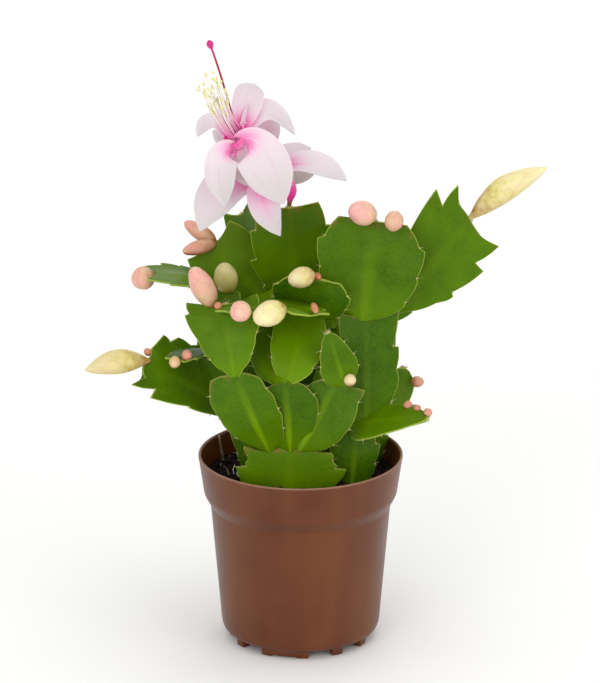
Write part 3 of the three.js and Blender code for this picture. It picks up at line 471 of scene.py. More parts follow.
# Dead root and stick: dull straw, weathered brown in patches.
root_fibre, tree, shader = new_finish("pale_dry_root")
on_piece = add_node(tree, "TexCoord").outputs["Object"]
weathering = add_node(tree, "TexNoise", {"Vector": on_piece, "Scale": 1 / (5 * MM), "Detail": 2})
weathered = add_node(tree, "MapRange", {0: weathering, 1: 0.38, 2: 0.6})
straw = add_node(tree, "Mix", {0: weathered, 6: paint("6b5340"), 7: paint("d8cdb4")}, data_type="RGBA")
feed(tree, shader, {"Base Color": straw, "Roughness": 0.8})

bm = bmesh.new()
for i in range(ROOTS["count"]):
    radius = math.sqrt(draw.uniform(0.15, 1)) * (PEAT_EDGE - 3)
    angle = draw.uniform(0, math.tau)
    x, y = radius * math.sin(angle), radius * math.cos(angle)
    heading = draw.uniform(0, math.tau)
    length = ROOTS["length"] * draw.uniform(0.4, 1.1)
    points = []
    for k in range(ROOTS["steps"] + 1):
        lift = 0.25 + ROOTS["arch"] * math.sin(math.pi * k / ROOTS["steps"])
        points.append(Vector((x, y, peat_top(x, y) + lift)))
        x += length / ROOTS["steps"] * math.cos(heading)
        y += length / ROOTS["steps"] * math.sin(heading)
        heading += draw.uniform(-0.7, 0.7)
        reach = math.hypot(x, y)
        if reach > PEAT_EDGE - 1:
            x, y = x * (PEAT_EDGE - 1) / reach, y * (PEAT_EDGE - 1) / reach
    thin = ROOTS["radius"] * draw.uniform(0.6, 1.2)
    grow_rod(bm, points, taper(thin, ROOTS["taper"], ROOTS["steps"]), ROOTS["sides"])
grow_rod(bm, [Vector(point) for point in STICK], STICK_RADII, 8)
for thread in TUFT:
    grow_rod(bm, [Vector(point) for point in thread], TUFT_RADII, ROOTS["sides"])
bmesh.ops.recalc_face_normals(bm, faces=bm.faces)
settle(to_object("peat_roots", bm, root_fibre), "soil")


# The stems: each is one rooted cutting, grown from flat fleshy segments end to end. A segment is thick along
# its midrib and thin at its toothed margin, waxy and satin, with a fine pale margin line that is a painted
# highlight. Young segments are fresh yellow-green, old ones deep green with dry brown scars at the joint.
BLADE = {
    "columns": 26,
    "mid_half": 1.25,
    "joint_swell": 1.25,
    "tip_thinning": 0.45,
    "roundness": 1.5,
    "edge_half": 0.45,
    "edge_lead": 2.2,
    "sink": 1.6,
    "twist": 10,
    "cup": 0.06,
    "cup_least": 0.4,
    "cup_full_by": 2.5,
    "tooth_least": 0.965,
    "tooth_vary": 0.1,
    "tooth_bulge": 0.035,
    "rib": 0.3,
    "rib_wide": 1.5,
    "margin_share": 0.45,
    "margin_wide": 0.9,
    "uneven": 0.45,
}
HORN_REACH = 1.05
OUTLINES = {  # along the midrib, along the edge, half width, as shares; the left edge's own end a row
    "toothed": [
        (0, 0, 0.11), (0.1, 0.1, 0.34), (0.26, 0.31, 0.78), (0.3, 0.33, 0.7), (0.47, 0.56, 0.98),
        (0.51, 0.57, 0.88), (0.72, 0.82, 1), (0.76, 0.82, 0.86), (0.94, HORN_REACH, 0.68),
        (0.98, 1, 0.36),
    ],
    "flared": [
        (0, 0, 0.11), (0.1, 0.1, 0.24, 0.1, 0.34), (0.24, 0.28, 0.6, 0.3, 0.78),
        (0.3, 0.37, 0.73, 0.37, 0.76), (0.44, 0.5, 0.91, 0.49, 1.02), (0.48, 0.52, 0.82, 0.54, 0.95),
        (0.7, 0.84, 1.01, 0.91, 1.16), (0.74, 0.83, 0.78, 0.87, 0.77), (0.86, 1.07, 0.92, 1.05, 0.78),
        (0.98, 1, 0.52, 0.96, 0.48),
    ],
    "upswept": [
        (0, 0, 0.11), (0.1, 0.12, 0.4, 0.1, 0.25), (0.24, 0.33, 0.85, 0.2, 0.43),
        (0.3, 0.4, 0.9, 0.28, 0.52), (0.44, 0.66, 1.3, 0.47, 0.74), (0.48, 0.73, 1.18, 0.48, 0.68),
        (0.62, 0.88, 1.25, 0.8, 1), (0.68, 0.93, 0.98, 0.8, 0.69), (0.82, 1.03, 1.05, 0.98, 0.88),
        (0.98, 1.05, 0.5, 0.9, 0.46),
    ],
    "blunt": [
        (0, 0, 0.22), (0.06, 0.05, 0.44), (0.19, 0.2, 0.75), (0.24, 0.24, 0.78), (0.43, 0.47, 0.97),
        (0.48, 0.5, 0.94), (0.71, 0.77, 1), (0.76, 0.8, 0.92), (0.93, 1, 0.66), (0.98, 1, 0.38),
    ],
    "wedge": [
        (0, 0, 0.1), (0.1, 0.1, 0.26), (0.22, 0.24, 0.48), (0.27, 0.28, 0.54), (0.46, 0.49, 0.72),
        (0.52, 0.55, 0.77), (0.76, 0.88, 1, 0.91, 1.07), (0.81, 0.89, 0.88, 0.92, 0.92),
        (0.94, HORN_REACH, 0.84, 1.08, 0.96), (0.98, 1, 0.42),
    ],
    "tall": [
        (0, 0, 0.2), (0.08, 0.08, 0.42), (0.2, 0.22, 0.72), (0.25, 0.27, 0.8),
        (0.42, 0.46, 1, 0.46, 0.86), (0.5, 0.55, 0.98, 0.55, 0.84), (0.64, 0.73, 1.05, 0.73, 0.9),
        (0.68, 0.74, 0.86, 0.74, 0.78), (0.93, 1.03, 1, 1.03, 0.84), (0.98, 1, 0.42),
    ],
    "rooted": [
        (0, 0, 0.4), (0.12, 0.12, 0.6), (0.28, 0.34, 0.84), (0.36, 0.42, 0.86), (0.52, 0.66, 1, 0.7, 1),
        (0.62, 0.68, 0.84, 0.71, 0.82), (0.68, 0.74, 0.82, 0.79, 0.8), (0.74, 0.79, 0.8, 0.87, 0.8),
        (0.8, 0.9, 0.8, 1, 0.86), (0.985, 0.905, 0.52, 0.905, 0.52),
    ],
    "shouldered": [
        (0, 0, 0.16), (0.07, 0.07, 0.42), (0.17, 0.17, 0.7), (0.25, 0.26, 0.84),
        (0.4, 0.42, 1, 0.42, 0.96), (0.5, 0.53, 1.04, 0.5, 0.98), (0.68, 0.78, 1, 0.68, 0.84),
        (0.75, 0.88, 0.9, 0.76, 0.72), (0.88, 1.04, 0.9, 0.9, 0.48), (0.98, 1, 0.5, 0.98, 0.24),
    ],
    "leaning": [
        (0, 0, 0.28, 0, 0.2), (0.07, 0.06, 0.5, 0.09, 0.42), (0.18, 0.17, 0.7, 0.2, 0.68),
        (0.26, 0.25, 0.78, 0.27, 0.8), (0.44, 0.43, 0.88, 0.46, 0.96), (0.52, 0.51, 0.9, 0.56, 1.06),
        (0.7, 0.68, 0.86, 0.76, 1.12), (0.78, 0.77, 0.79, 0.84, 1.08), (0.92, 0.9, 0.66, 1, 0.84),
        (0.985, 0.975, 0.34, 1.02, 0.5),
    ],
    "oval": [
        (0, 0, 0.16), (0.08, 0.07, 0.42), (0.19, 0.18, 0.7), (0.26, 0.25, 0.81), (0.43, 0.42, 0.96),
        (0.51, 0.5, 1), (0.69, 0.68, 0.98), (0.77, 0.76, 0.91), (0.91, 0.9, 0.62), (0.985, 0.975, 0.28),
    ],
    "drop": [
        (0, 0, 0.3), (0.07, 0.06, 0.62), (0.18, 0.17, 0.9), (0.26, 0.25, 1), (0.42, 0.41, 0.98),
        (0.5, 0.49, 0.93), (0.69, 0.68, 0.74), (0.76, 0.75, 0.65), (0.91, 0.9, 0.4), (0.98, 0.97, 0.2),
    ],
}
OUTLINE_OF = {
    "front_foot": "rooted",
    "front_left": "leaning",
    "front_middle": "oval",
    "front_right": "shouldered",
    "front_upper_left": "wedge",
    "front_tall": "blunt",
    "front_crown": "blunt",
    "front_prop": "blunt",
    "front_small": "drop",
    "right_fan": "blunt",
    "right_far": "flared",
    "left_low": "upswept",
    "right_tall": "tall",
    "right_shelf": "drop",
    "side_short": "oval",
    "left_upper": "blunt",
}
SPAN_ROWS = [3, 8, 3, 8, 3, 8, 3, 9, 5]
TOOTH_ROWS = (2, 4, 6, 8)
NOTCH_ROWS = (3, 5, 7)
# A row is a segment, its parent or its foot, how far along the parent's tip it stands, its own tip, its
# width, the way it looks, its bow and, where they differ, its skew and how far its end teeth reach.
STEMS = {
    "stem_front": [
        ("front_foot", (-3.6, -13, 49), 0, (-3.6, -14, 73.8), 36, (0, 0), 0.5),
        ("front_left", "front_foot", -7.5, (-21.7, -23, 103.4), 20.7, (-8, 0), 1.5),
        ("front_middle", "front_foot", 0, (-5.6, -18, 99.5), 21, (0, 10), 0.6),
        ("front_right", "front_foot", 4, (12.6, -13.5, 98), 21.8, (-6, 0), 0.6),
        ("front_upper_left", "front_left", -0.5, (-25.4, -14, 125.1), 27, (-12, 20), 1.5),
        ("front_tall", "front_middle", 1.4, (1.2, -1, 117), 18.5, (3, 20), 2.2),
        ("front_prop", "front_middle", -2, (-9.2, 5, 121.8), 21, (-5, 15), -1.5),
        ("front_shelf", "front_prop", 0, (-9.5, -27, 127.5), 37, (0, 82), -1),
        ("front_crown", "front_tall", 1, (5, -10.5, 133.2), 26, (4, 30), 1.5),
        ("front_small", "front_right", 2, (8.9, -17.5, 116.1), 13, (14, 0), 0.6),
    ],
    "stem_right": [
        ("right_foot", (16.5, -7, 49), 0, (18.8, -6, 77.2), 17, (8, 0), 0.5),
        ("right_tall", "right_foot", 3.2, (22, -1, 116.4), 21.5, (10, 0), 1),
        ("right_shelf", "right_foot", -0.5, (43.6, -17, 84.8), 15.8, (5, 60), 1.4),
        ("right_fan", "right_tall", -1, (25, 1.5, 149.8), 35, (0, 5), 1.5, 0.01, 0.95),
        ("right_back", "right_foot", 6, (26.5, 10.5, 113.9), 12.5, (20, 5), 1),
        ("right_far", "right_back", 4, (58.1, 11.5, 147.2), 28, (8, 10), 1.5, 0.13),
    ],
    "stem_side": [
        ("side_foot", (21, 11, 50), 0, (25, 13, 72.3), 13, (30, 0), 0.4),
        ("side_short", "side_foot", 2, (35.5, 14, 92.5), 13, (30, 10), 0.8),
        ("side_rear", "side_foot", -3, (35, 33, 71), 17, (150, 70), 1),
    ],
    "stem_left": [
        ("left_foot", (-12, -2, 50), 0, (-20, -2, 81.4), 11.5, (-10, 0), 0.4),
        ("left_low", "left_foot", -2.4, (-53.2, -14, 103.6), 23, (0, 45), 1.2, 0.14),
        ("left_riser", "left_foot", 1, (-29.3, -2, 103.7), 18, (-20, 0), 0.8),
        ("left_short", "left_riser", -2, (-42, -18, 106), 11, (-30, 78), 0.8),
        ("left_upper", "left_riser", 1, (-23.8, 3, 124), 10, (-10, 0), 0.8),
        ("left_top", "left_upper", -4, (-50.4, -1, 130.6), 19, (-10, 82), 1, 0, 1.12),
    ],
    "stem_middle": [
        ("middle_foot", (-4, 11, 50), 0, (-5, 12, 72.3), 17, (0, 0), 0.4),
        ("middle_riser", "middle_foot", 0, (-5, 16, 111.3), 22, (0, 5), 0.8),
        ("middle_left", "middle_riser", -3, (-30.2, 16, 136.5), 28, (-8, 20), 1.5),
        ("middle_top", "middle_riser", 3, (-3.9, 14, 150.7), 28, (5, 0), 1.2, 0, 1.02),
        ("middle_edge", "middle_riser", -1, (-20.4, 26, 144.5), 20, (-65, 25), 1),
    ],
    "stem_back": [
        ("back_foot", (9, 19, 50), 0, (10, 21, 74), 17, (180, 0), 0.4),
        ("back_right", "back_foot", -3, (14, 34, 101), 24, (175, 10), 1),
        ("back_left", "back_foot", 4, (-18, 33, 98), 23, (200, 10), 1),
        ("back_top", "back_right", 3, (8, 45, 128), 27, (180, 10), 1.2),
        ("back_far", "back_right", -4, (36, 40, 115), 24, (150, 25), 1.2),
        ("back_crown", "back_left", 0, (-15, 49, 118), 25, (190, 40), 1.2),
        ("back_shelf", "back_far", 0, (27, 61, 121), 24, (160, 60), 1),
    ],
    "stem_back_left": [
        ("low_foot", (-14, 19, 50), 0, (-15, 21, 73), 14, (190, 0), 0.4),
        ("low_left", "low_foot", 1, (-32, 35, 86), 22, (200, 45), 1),
        ("low_shelf", "low_left", 0, (-20, 58, 98), 24, (195, 60), 1),
    ],
}
# How deep a segment's green is (set lighter on segments that lie in shade, as painted light), how old its
# skin is and how scarred its tip is.
ORDINARY = (0.5, 0.25, 0.15)
FINISH = {
    "front_foot": (0.08, 0.8, 0.9),
    "front_left": (0.62, 0.9, 0.3),
    "front_middle": (0.77, 0.9, 0.3),
    "front_right": (0.6, 0.9, 0.3),
    "front_upper_left": (0.36, 0.3, 0.1),
    "front_tall": (0, 0.2, 0.1),
    "front_prop": (0.4, 0.3, 0.1),
    "front_shelf": (0.2, 0.2, 0.1),
    "front_crown": (0.8, 0.3, 0.1),
    "front_small": (0.6, 0.7, 0.1),
    "right_foot": (0.75, 0.8, 0.4),
    "right_tall": (0.85, 0.6, 0.2),
    "right_shelf": (0.25, 0.3, 0.2),
    "right_fan": (0.64, 0.35, 0.7),
    "right_back": (0.6, 0.5, 0.2),
    "right_far": (0.43, 0.1, 0.1),
    "left_foot": (0.8, 0.9, 0.3),
    "left_low": (0.6, 0.2, 0.1),
    "left_riser": (0.75, 0.5, 0.2),
    "left_short": (0.9, 0.2, 0.1),
    "left_top": (0.35, 0.2, 0.1),
    "middle_foot": (0.85, 0.9, 0.3),
    "middle_riser": (0.8, 0.6, 0.2),
    "middle_left": (0.2, 0.3, 0.1),
    "middle_top": (0.45, 0.3, 0.6),
}


def fixed_draw(seed):
    """The model's repeatable draw from 0 to 1 for a whole number."""
    s = math.sin(seed * 12.9898) * 43758.5453
    return s - math.floor(s)


def look_vector(heading, rise):
    """The direction that is some degrees round from the viewer, to the right, and some degrees up."""
    flat = math.cos(math.radians(rise))
    around = math.radians(heading)
    return Vector((math.sin(around) * flat, -math.cos(around) * flat, math.sin(math.radians(rise))))


def ease_along(points, t):
    """The value at t of a smooth curve through points of place and value."""
    last = len(points) - 2
    i = next((k for k in range(last + 1) if t <= points[k + 1][0]), last)
    (t0, a), (t1, b) = points[i], points[i + 1]
    before, after = points[max(i - 1, 0)], points[min(i + 2, len(points) - 1)]
    slope_in = (b - before[1]) / (t1 - before[0])
    slope_out = (after[1] - a) / (after[0] - t0)
    span = t1 - t0
    s = (t - t0) / span
    value = a * (1 + 2 * s) * (1 - s) ** 2 + b * s**2 * (3 - 2 * s)
    return value + span * (slope_in * s * (1 - s) ** 2 - slope_out * s**2 * (1 - s))


def lie_segment(row, laid, seed):
    """Where a segment lies and what its two margins are."""
    name, parent, side, tip, width, look, bow = row[:7]
    skew = row[7] if len(row) > 7 else 0
    horn = row[8] if len(row) > 8 else HORN_REACH
    rooted = not isinstance(parent, str)
    base = Vector(parent) if rooted else laid[parent]["tip"] + laid[parent]["across"] * side
    along = (Vector(tip) - base).normalized()
    start = base if rooted else base - along * BLADE["sink"]
    looks = look_vector(*look)
    out = (looks - along * looks.dot(along)).normalized()
    form = OUTLINE_OF.get(name, "toothed")
    margins = []
    for hand in (0, 1):
        margin = []
        for row_number, (mid, edge, half, *left) in enumerate(OUTLINES[form]):
            if left and hand == 0:
                edge, half = left
            if row_number in TOOTH_ROWS:
                drawn = fixed_draw(seed * 7 + row_number * 2 + hand)
                half *= BLADE["tooth_least"] + BLADE["tooth_vary"] * drawn
            margin.append((mid, horn if edge == HORN_REACH else edge, half))
        margins.append(margin)
    cup = BLADE["cup"] * width * (BLADE["cup_least"] + fixed_draw(seed + 1))
    return {
        "name": name,
        "start": start,
        "tip": Vector(tip),
        "along": along,
        "across": along.cross(out),
        "out": out,
        "length": (Vector(tip) - start).length,
        "width": width,
        "bow": bow,
        "skew": skew,
        "margins": margins,
        "rounded": form in ("oval", "drop", "leaning"),
        "rooted": rooted,
        "seed": seed,
        "twist": 0 if rooted else math.radians(BLADE["twist"] * (fixed_draw(seed) - 0.5)),
        "cup": 0 if rooted else math.copysign(cup, bow),
    }


def on_blade(place, u, span, share):
    """A segment's middle surface at a share across and a place along its spans: the point, the half thickness
    as a vector, the share along and the distance to the margin in mm."""
    margin = place["margins"][0 if u < 0 else 1]
    low, high = margin[span], margin[span + 1]
    mid, edge, half = (a + (b - a) * share for a, b in zip(low, high))
    if place["rounded"]:
        half = ease_along([(along, wide) for along, _, wide in margin], mid)
    elif span + 1 in TOOTH_ROWS:
        half += BLADE["tooth_bulge"] * math.sin(math.pi * share)
    reach = abs(u)
    v = mid + (edge - mid) * reach ** BLADE["edge_lead"] - place["skew"] * u * half * mid
    lateral = u * half * place["width"] / 2
    from_margin = min((1 - reach) * half * place["width"] / 2, (1 - mid / margin[-1][0]) * place["length"])
    mid_half = BLADE["mid_half"] * (BLADE["joint_swell"] - BLADE["tip_thinning"] * v)
    thick = BLADE["edge_half"] + (mid_half - BLADE["edge_half"]) * (1 - reach ** BLADE["roundness"])
    thick += BLADE["rib"] * math.exp(-((lateral / BLADE["rib_wide"]) ** 2)) * (1 - 0.6 * v)
    thinning = BLADE["margin_share"]
    thick *= thinning + (1 - thinning) * math.sqrt(min(1, from_margin / BLADE["margin_wide"]))
    rough = noise.noise(Vector((lateral * 0.11, v * place["length"] * 0.11, place["seed"] * 3.7)))
    lift = place["bow"] * 4 * v * (1 - v) + place["cup"] * reach**2 * min(1, BLADE["cup_full_by"] * v)
    lift += BLADE["uneven"] * rough * min(1, 4 * v) * (0 if place["rooted"] else 1)
    turn = place["twist"] * v
    point = place["start"] + place["along"] * v * place["length"] + place["across"] * lateral * math.cos(turn)
    point += place["out"] * (lateral * math.sin(turn) + lift)
    return point, place["out"] * thick, v, from_margin


def grow_sheet(bm, columns, rows, shape):
    """A closed leaf-like body: a grid bent to a shape's front, and drawn through to its back. The shape gives
    each place of the grid its middle point, its half thickness and what its paint reads there."""
    depth = bm.verts.layers.float_vector.new("depth")
    leaf = bm.verts.layers.float_vector["leaf"]
    front = bmesh.ops.create_grid(bm, x_segments=columns, y_segments=rows, size=1)["verts"]
    for vert in front:
        column = round((vert.co.x + 1) / 2 * columns)
        row = round((vert.co.y + 1) / 2 * rows)
        middle, half, vert[leaf] = shape(column, row)
        vert.co = middle + half
        vert[depth] = half * -2
    sheet = list(dict.fromkeys(face for vert in front for face in vert.link_faces))
    drawn = bmesh.ops.extrude_face_region(bm, geom=sheet)
    for vert in drawn["geom"]:
        if isinstance(vert, bmesh.types.BMVert):
            vert.co += vert[depth]
    bm.verts.layers.float_vector.remove(depth)


def new_leafy():
    """An empty body whose points carry the leaf values that the paint reads."""
    bm = bmesh.new()
    bm.verts.layers.float_vector.new("leaf")
    bm.verts.layers.float_color.new("finish")
    return bm


# The skin is a satin wax over pale cells: darker with age, lighter along the midrib and at the joint, with a
# thin pale margin line that is a painted highlight and, on some tips, dry brown scars.
stem_skin, tree, shader = new_finish("waxy_green_stem_skin")
on_piece = add_node(tree, "TexCoord").outputs["Object"]
leaf_values = add_node(tree, "Attribute", attribute_name="leaf")
leaf_parts = add_node(tree, "SeparateXYZ", {0: leaf_values.outputs["Vector"]})
finish_values = add_node(tree, "Attribute", attribute_name="finish")
finish_parts = add_node(tree, "SeparateColor", {0: finish_values.outputs["Color"]})
segment_tone_and_painted_light, age, scarring = (finish_parts.outputs[i] for i in range(3))
along_share, from_margin = leaf_parts.outputs[1], leaf_parts.outputs[2]
patches = add_node(tree, "TexNoise", {"Vector": on_piece, "Scale": 1 / (8 * MM), "Detail": 4})
patch_shift = add_node(tree, "MapRange", {0: patches, 1: 0.25, 2: 0.75, 3: -0.2, 4: 0.2})
# Painted light: a segment's green depth is partly its own tone and partly set lighter where the segment lies
# in shade.
mottled_tone_and_painted_light = add_node(tree, "Math", {0: segment_tone_and_painted_light, 1: patch_shift}, operation="ADD", use_clamp=True)
green = add_node(tree, "Mix", {0: mottled_tone_and_painted_light, 6: paint("5e8200"), 7: paint("2b4f00")}, data_type="RGBA")
from_rib = add_node(tree, "Math", {0: leaf_parts.outputs[0]}, operation="ABSOLUTE")
rib_band = add_node(
    tree, "MapRange", {0: from_rib, 1: 0.02, 2: 0.2, 3: 1, 4: 0}, interpolation_type="SMOOTHERSTEP"
)
rib_fade = add_node(tree, "MapRange", {0: along_share, 1: 0.1, 2: 0.95, 3: 0.85, 4: 0.12})
rib_age = add_node(tree, "MapRange", {0: age, 1: 0.6, 2: 0.9, 3: 0.3, 4: 1})
rib_clear = add_node(tree, "Math", {0: rib_band, 1: rib_age}, operation="MULTIPLY")
rib_light = add_node(tree, "Math", {0: rib_clear, 1: rib_fade}, operation="MULTIPLY")
joint_light = add_node(tree, "MapRange", {0: along_share, 1: 0, 2: 0.4, 3: 0.45, 4: 0})
tip_share = add_node(tree, "MapRange", {0: along_share, 1: 0.5, 2: 1, 3: 0, 4: 0.5})
bloom = add_node(tree, "Math", {0: tip_share, 1: age}, operation="MULTIPLY")
cells = add_node(tree, "TexNoise", {"Vector": on_piece, "Scale": 1 / (0.8 * MM), "Detail": 3})
cell_light = add_node(tree, "MapRange", {0: cells, 1: 0.35, 2: 0.65, 3: 0, 4: 0.22})
scar_reach = add_node(tree, "MapRange", {0: from_margin, 1: 0.3, 2: 2.6, 3: 1, 4: 0})
scar_tip = add_node(tree, "MapRange", {0: along_share, 1: 0.78, 2: 0.95, 3: 0, 4: 1})
scar_noise = add_node(tree, "TexNoise", {"Vector": on_piece, "Scale": 1 / (1.8 * MM), "Detail": 3})
scar_spots = add_node(tree, "MapRange", {0: scar_noise, 1: 0.48, 2: 0.6})
scar = scarring
for share in (scar_reach, scar_tip, scar_spots):
    scar = add_node(tree, "Math", {0: scar, 1: share}, operation="MULTIPLY")
skin_layers = [
    (rib_light, "7c9f02"),
    (joint_light, "6c9200"),
    (bloom, "3c6418"),
    (cell_light, "668c00"),
    (scar, "93573c"),
]
tint = green
for share, colour in skin_layers:
    tint = add_node(tree, "Mix", {0: share, 6: tint, 7: paint(colour)}, data_type="RGBA")
# Painted highlight: a pale line is painted along the margin, where light catches the edge, duller on old
# skin.
margin_highlight_green = add_node(tree, "Mix", {0: age, 6: paint("a9c04a"), 7: paint("9aa04a")}, data_type="RGBA")
margin_highlight_share = add_node(
    tree, "MapRange", {0: from_margin, 1: 0.06, 2: 0.34, 3: 0.7, 4: 0}, interpolation_type="SMOOTHERSTEP"
)
green_with_margin_highlight = add_node(tree, "Mix", {0: margin_highlight_share, 6: tint, 7: margin_highlight_green}, data_type="RGBA")
wax = add_node(tree, "MapRange", {0: patches, 1: 0.3, 2: 0.7, 3: 0.36, 4: 0.48})
swell = add_node(tree, "TexNoise", {"Vector": on_piece, "Scale": 1 / (3.2 * MM), "Detail": 2})
swell_bump = add_node(tree, "Bump", {"Height": swell, "Strength": 0.5, "Distance": 0.25 * MM})
cell_bump = add_node(
    tree, "Bump", {"Height": cells, "Strength": 0.35, "Distance": 0.05 * MM, "Normal": swell_bump}
)
surface = {
    "Base Color": green_with_margin_highlight,
    "Roughness": wax,
    "Normal": cell_bump,
    "IOR": 1.45,
    "Specular IOR Level": 0.12,
    "Subsurface Weight": 0.08,
    "Subsurface Radius": (0.4, 1.0, 0.15),
    "Subsurface Scale": 1.2 * MM,
}
feed(tree, shader, surface)

grid_rows = [(span, k / steps) for span, steps in enumerate(SPAN_ROWS) for k in range(steps)]
grid_rows.append((len(SPAN_ROWS) - 1, 1.0))
laid = {}
seed = 1
for stem, rows in STEMS.items():
    bm = new_leafy()
    finish = bm.verts.layers.float_color["finish"]
    for row in rows:
        place = lie_segment(row, laid, seed)
        laid[place["name"]] = place

        def blade_shape(column, row_number):
            u = math.sin(math.pi * (column / BLADE["columns"] - 0.5))
            point, half, v, from_margin = on_blade(place, u, *grid_rows[row_number])
            return point, half, (u, v, from_margin)

        before = len(bm.verts)
        grow_sheet(bm, BLADE["columns"], len(grid_rows) - 1, blade_shape)
        bm.verts.ensure_lookup_table()
        for vert in bm.verts[before:]:
            vert[finish] = (*FINISH.get(place["name"], ORDINARY), 1)
        seed += 3
    bmesh.ops.recalc_face_normals(bm, faces=bm.faces)
    piece = to_object(stem + "_segments", bm, stem_skin)
    piece.data.set_sharp_from_angle(angle=math.radians(60))
    settle(piece, "stem", stem)


# Areoles: the small felted cushions in the notches between the teeth and at each joint, where bristles, new
# segments and buds come from. They are pale on young growth and brown and woody on old.
AREOLE = {"radius": 0.42, "joint": (1.5, 0.75, 0.7)}
BRISTLES = {"notch": 2, "joint": 9, "radius": 0.06, "least": 0.9, "most": 2.3, "steps": 3, "sides": 3}
BRISTLE_CURL = 0.12
BRISTLE_TAPER = 0.8
BRISTLE_SPREAD = 0.8
BRISTLE_SEED = 23
AREOLES_FROM = PEAT_HEIGHT + 2

# Felt is dull and softly lit at its edges.
felt, tree, shader = new_finish("felted_areole")
on_piece = add_node(tree, "TexCoord").outputs["Object"]
tufts = add_node(tree, "TexNoise", {"Vector": on_piece, "Scale": 1 / (0.5 * MM), "Detail": 3})
tuft_share = add_node(tree, "MapRange", {0: tufts, 1: 0.35, 2: 0.65})
felted = add_node(tree, "Mix", {0: tuft_share, 6: paint("8f9440"), 7: paint("c3bc7c")}, data_type="RGBA")
feed(tree, shader, {"Base Color": felted, "Roughness": 0.9, "Sheen Weight": 0.3})

# A dry bristle is straw with a slight gloss.
bristle, tree, shader = new_finish("straw_bristle")
on_piece = add_node(tree, "TexCoord").outputs["Object"]
bristle_noise = add_node(tree, "TexNoise", {"Vector": on_piece, "Scale": 1 / (2 * MM), "Detail": 1})
straw = add_node(tree, "Mix", {0: bristle_noise, 6: paint("b09a6a"), 7: paint("e2dab4")}, data_type="RGBA")
feed(tree, shader, {"Base Color": straw, "Roughness": 0.55})

bm = bmesh.new()
bmesh.ops.create_icosphere(bm, subdivisions=1, radius=1)
cushion = to_template(bm)
bm = bmesh.new()
shares = [k / BRISTLES["steps"] for k in range(BRISTLES["steps"] + 1)]
points = [Vector((BRISTLE_CURL * share**2, 0, share)) for share in shares]
grow_rod(bm, points, taper(BRISTLES["radius"], BRISTLE_TAPER, BRISTLES["steps"]), BRISTLES["sides"])
bmesh.ops.recalc_face_normals(bm, faces=bm.faces)
hair = to_template(bm)
pads = bmesh.new()
hairs = bmesh.new()
draw = random.Random(BRISTLE_SEED)
for place in laid.values():
    across, along, out = place["across"], place["along"], place["out"]
    spots = []
    for u in (-1, 1):
        for span in NOTCH_ROWS:
            spots.append((on_blade(place, u, span, 0)[0], across * u + along * 0.3, False))
    spots.append((on_blade(place, 0, len(SPAN_ROWS) - 1, 1)[0], along, True))
    for point, outward, is_joint in spots:
        if point.z < AREOLES_FROM:
            continue
        size = AREOLE["joint"] if is_joint else (AREOLE["radius"],) * 3
        turned = Matrix((across, out, along)).transposed().to_4x4()
        stamp(pads, cushion, Matrix.Translation(point) @ turned @ Matrix.Diagonal((*size, 1)))
        for _ in range(BRISTLES["joint"] if is_joint else BRISTLES["notch"]):
            spread = across * draw.uniform(-BRISTLE_SPREAD, BRISTLE_SPREAD)
            spread += out * draw.uniform(-BRISTLE_SPREAD, BRISTLE_SPREAD)
            heading = (outward + spread * (1 if is_joint else 0.5)).normalized()
            root = point + across * draw.uniform(-1.2, 1.2) if is_joint else point
            length = draw.uniform(BRISTLES["least"], BRISTLES["most"])
            stamp(hairs, hair, stand(root, heading) @ Matrix.Diagonal((1, 1, length, 1)))
for template in (cushion, hair):
    bpy.data.meshes.remove(template)
settle(to_object("areoles", pads, felt), "stem")
settle(to_object("areole_bristles", hairs, bristle), "stem")


# The buds: plump and waxy, wrapped in overlapping scales that turn from olive and russet at the foot to cream
# or shell pink at the tip. Each grows out of the end of a segment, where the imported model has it.
PLUMP_BUD = [(0, 0.14), (0.06, 0.36), (0.2, 0.76), (0.42, 1), (0.64, 0.97), (0.86, 0.68), (0.95, 0.4), (1, 0)]
SLENDER_BUD = [(0, 0.12), (0.06, 0.26), (0.2, 0.64), (0.42, 1), (0.64, 0.93), (0.86, 0.52), (1, 0)]
BUD_SUNK = 1
BUD_BEND = 0.06
BUD_SCALES = {"tiers": 4, "around": 3, "first": 0.16, "rise": 0.2, "dip": 0.2, "step": 0.01, "soft": 0.05}
BUD_GRIDS = {"large": (48, 40), "small": (22, 16), "small_under": 2}
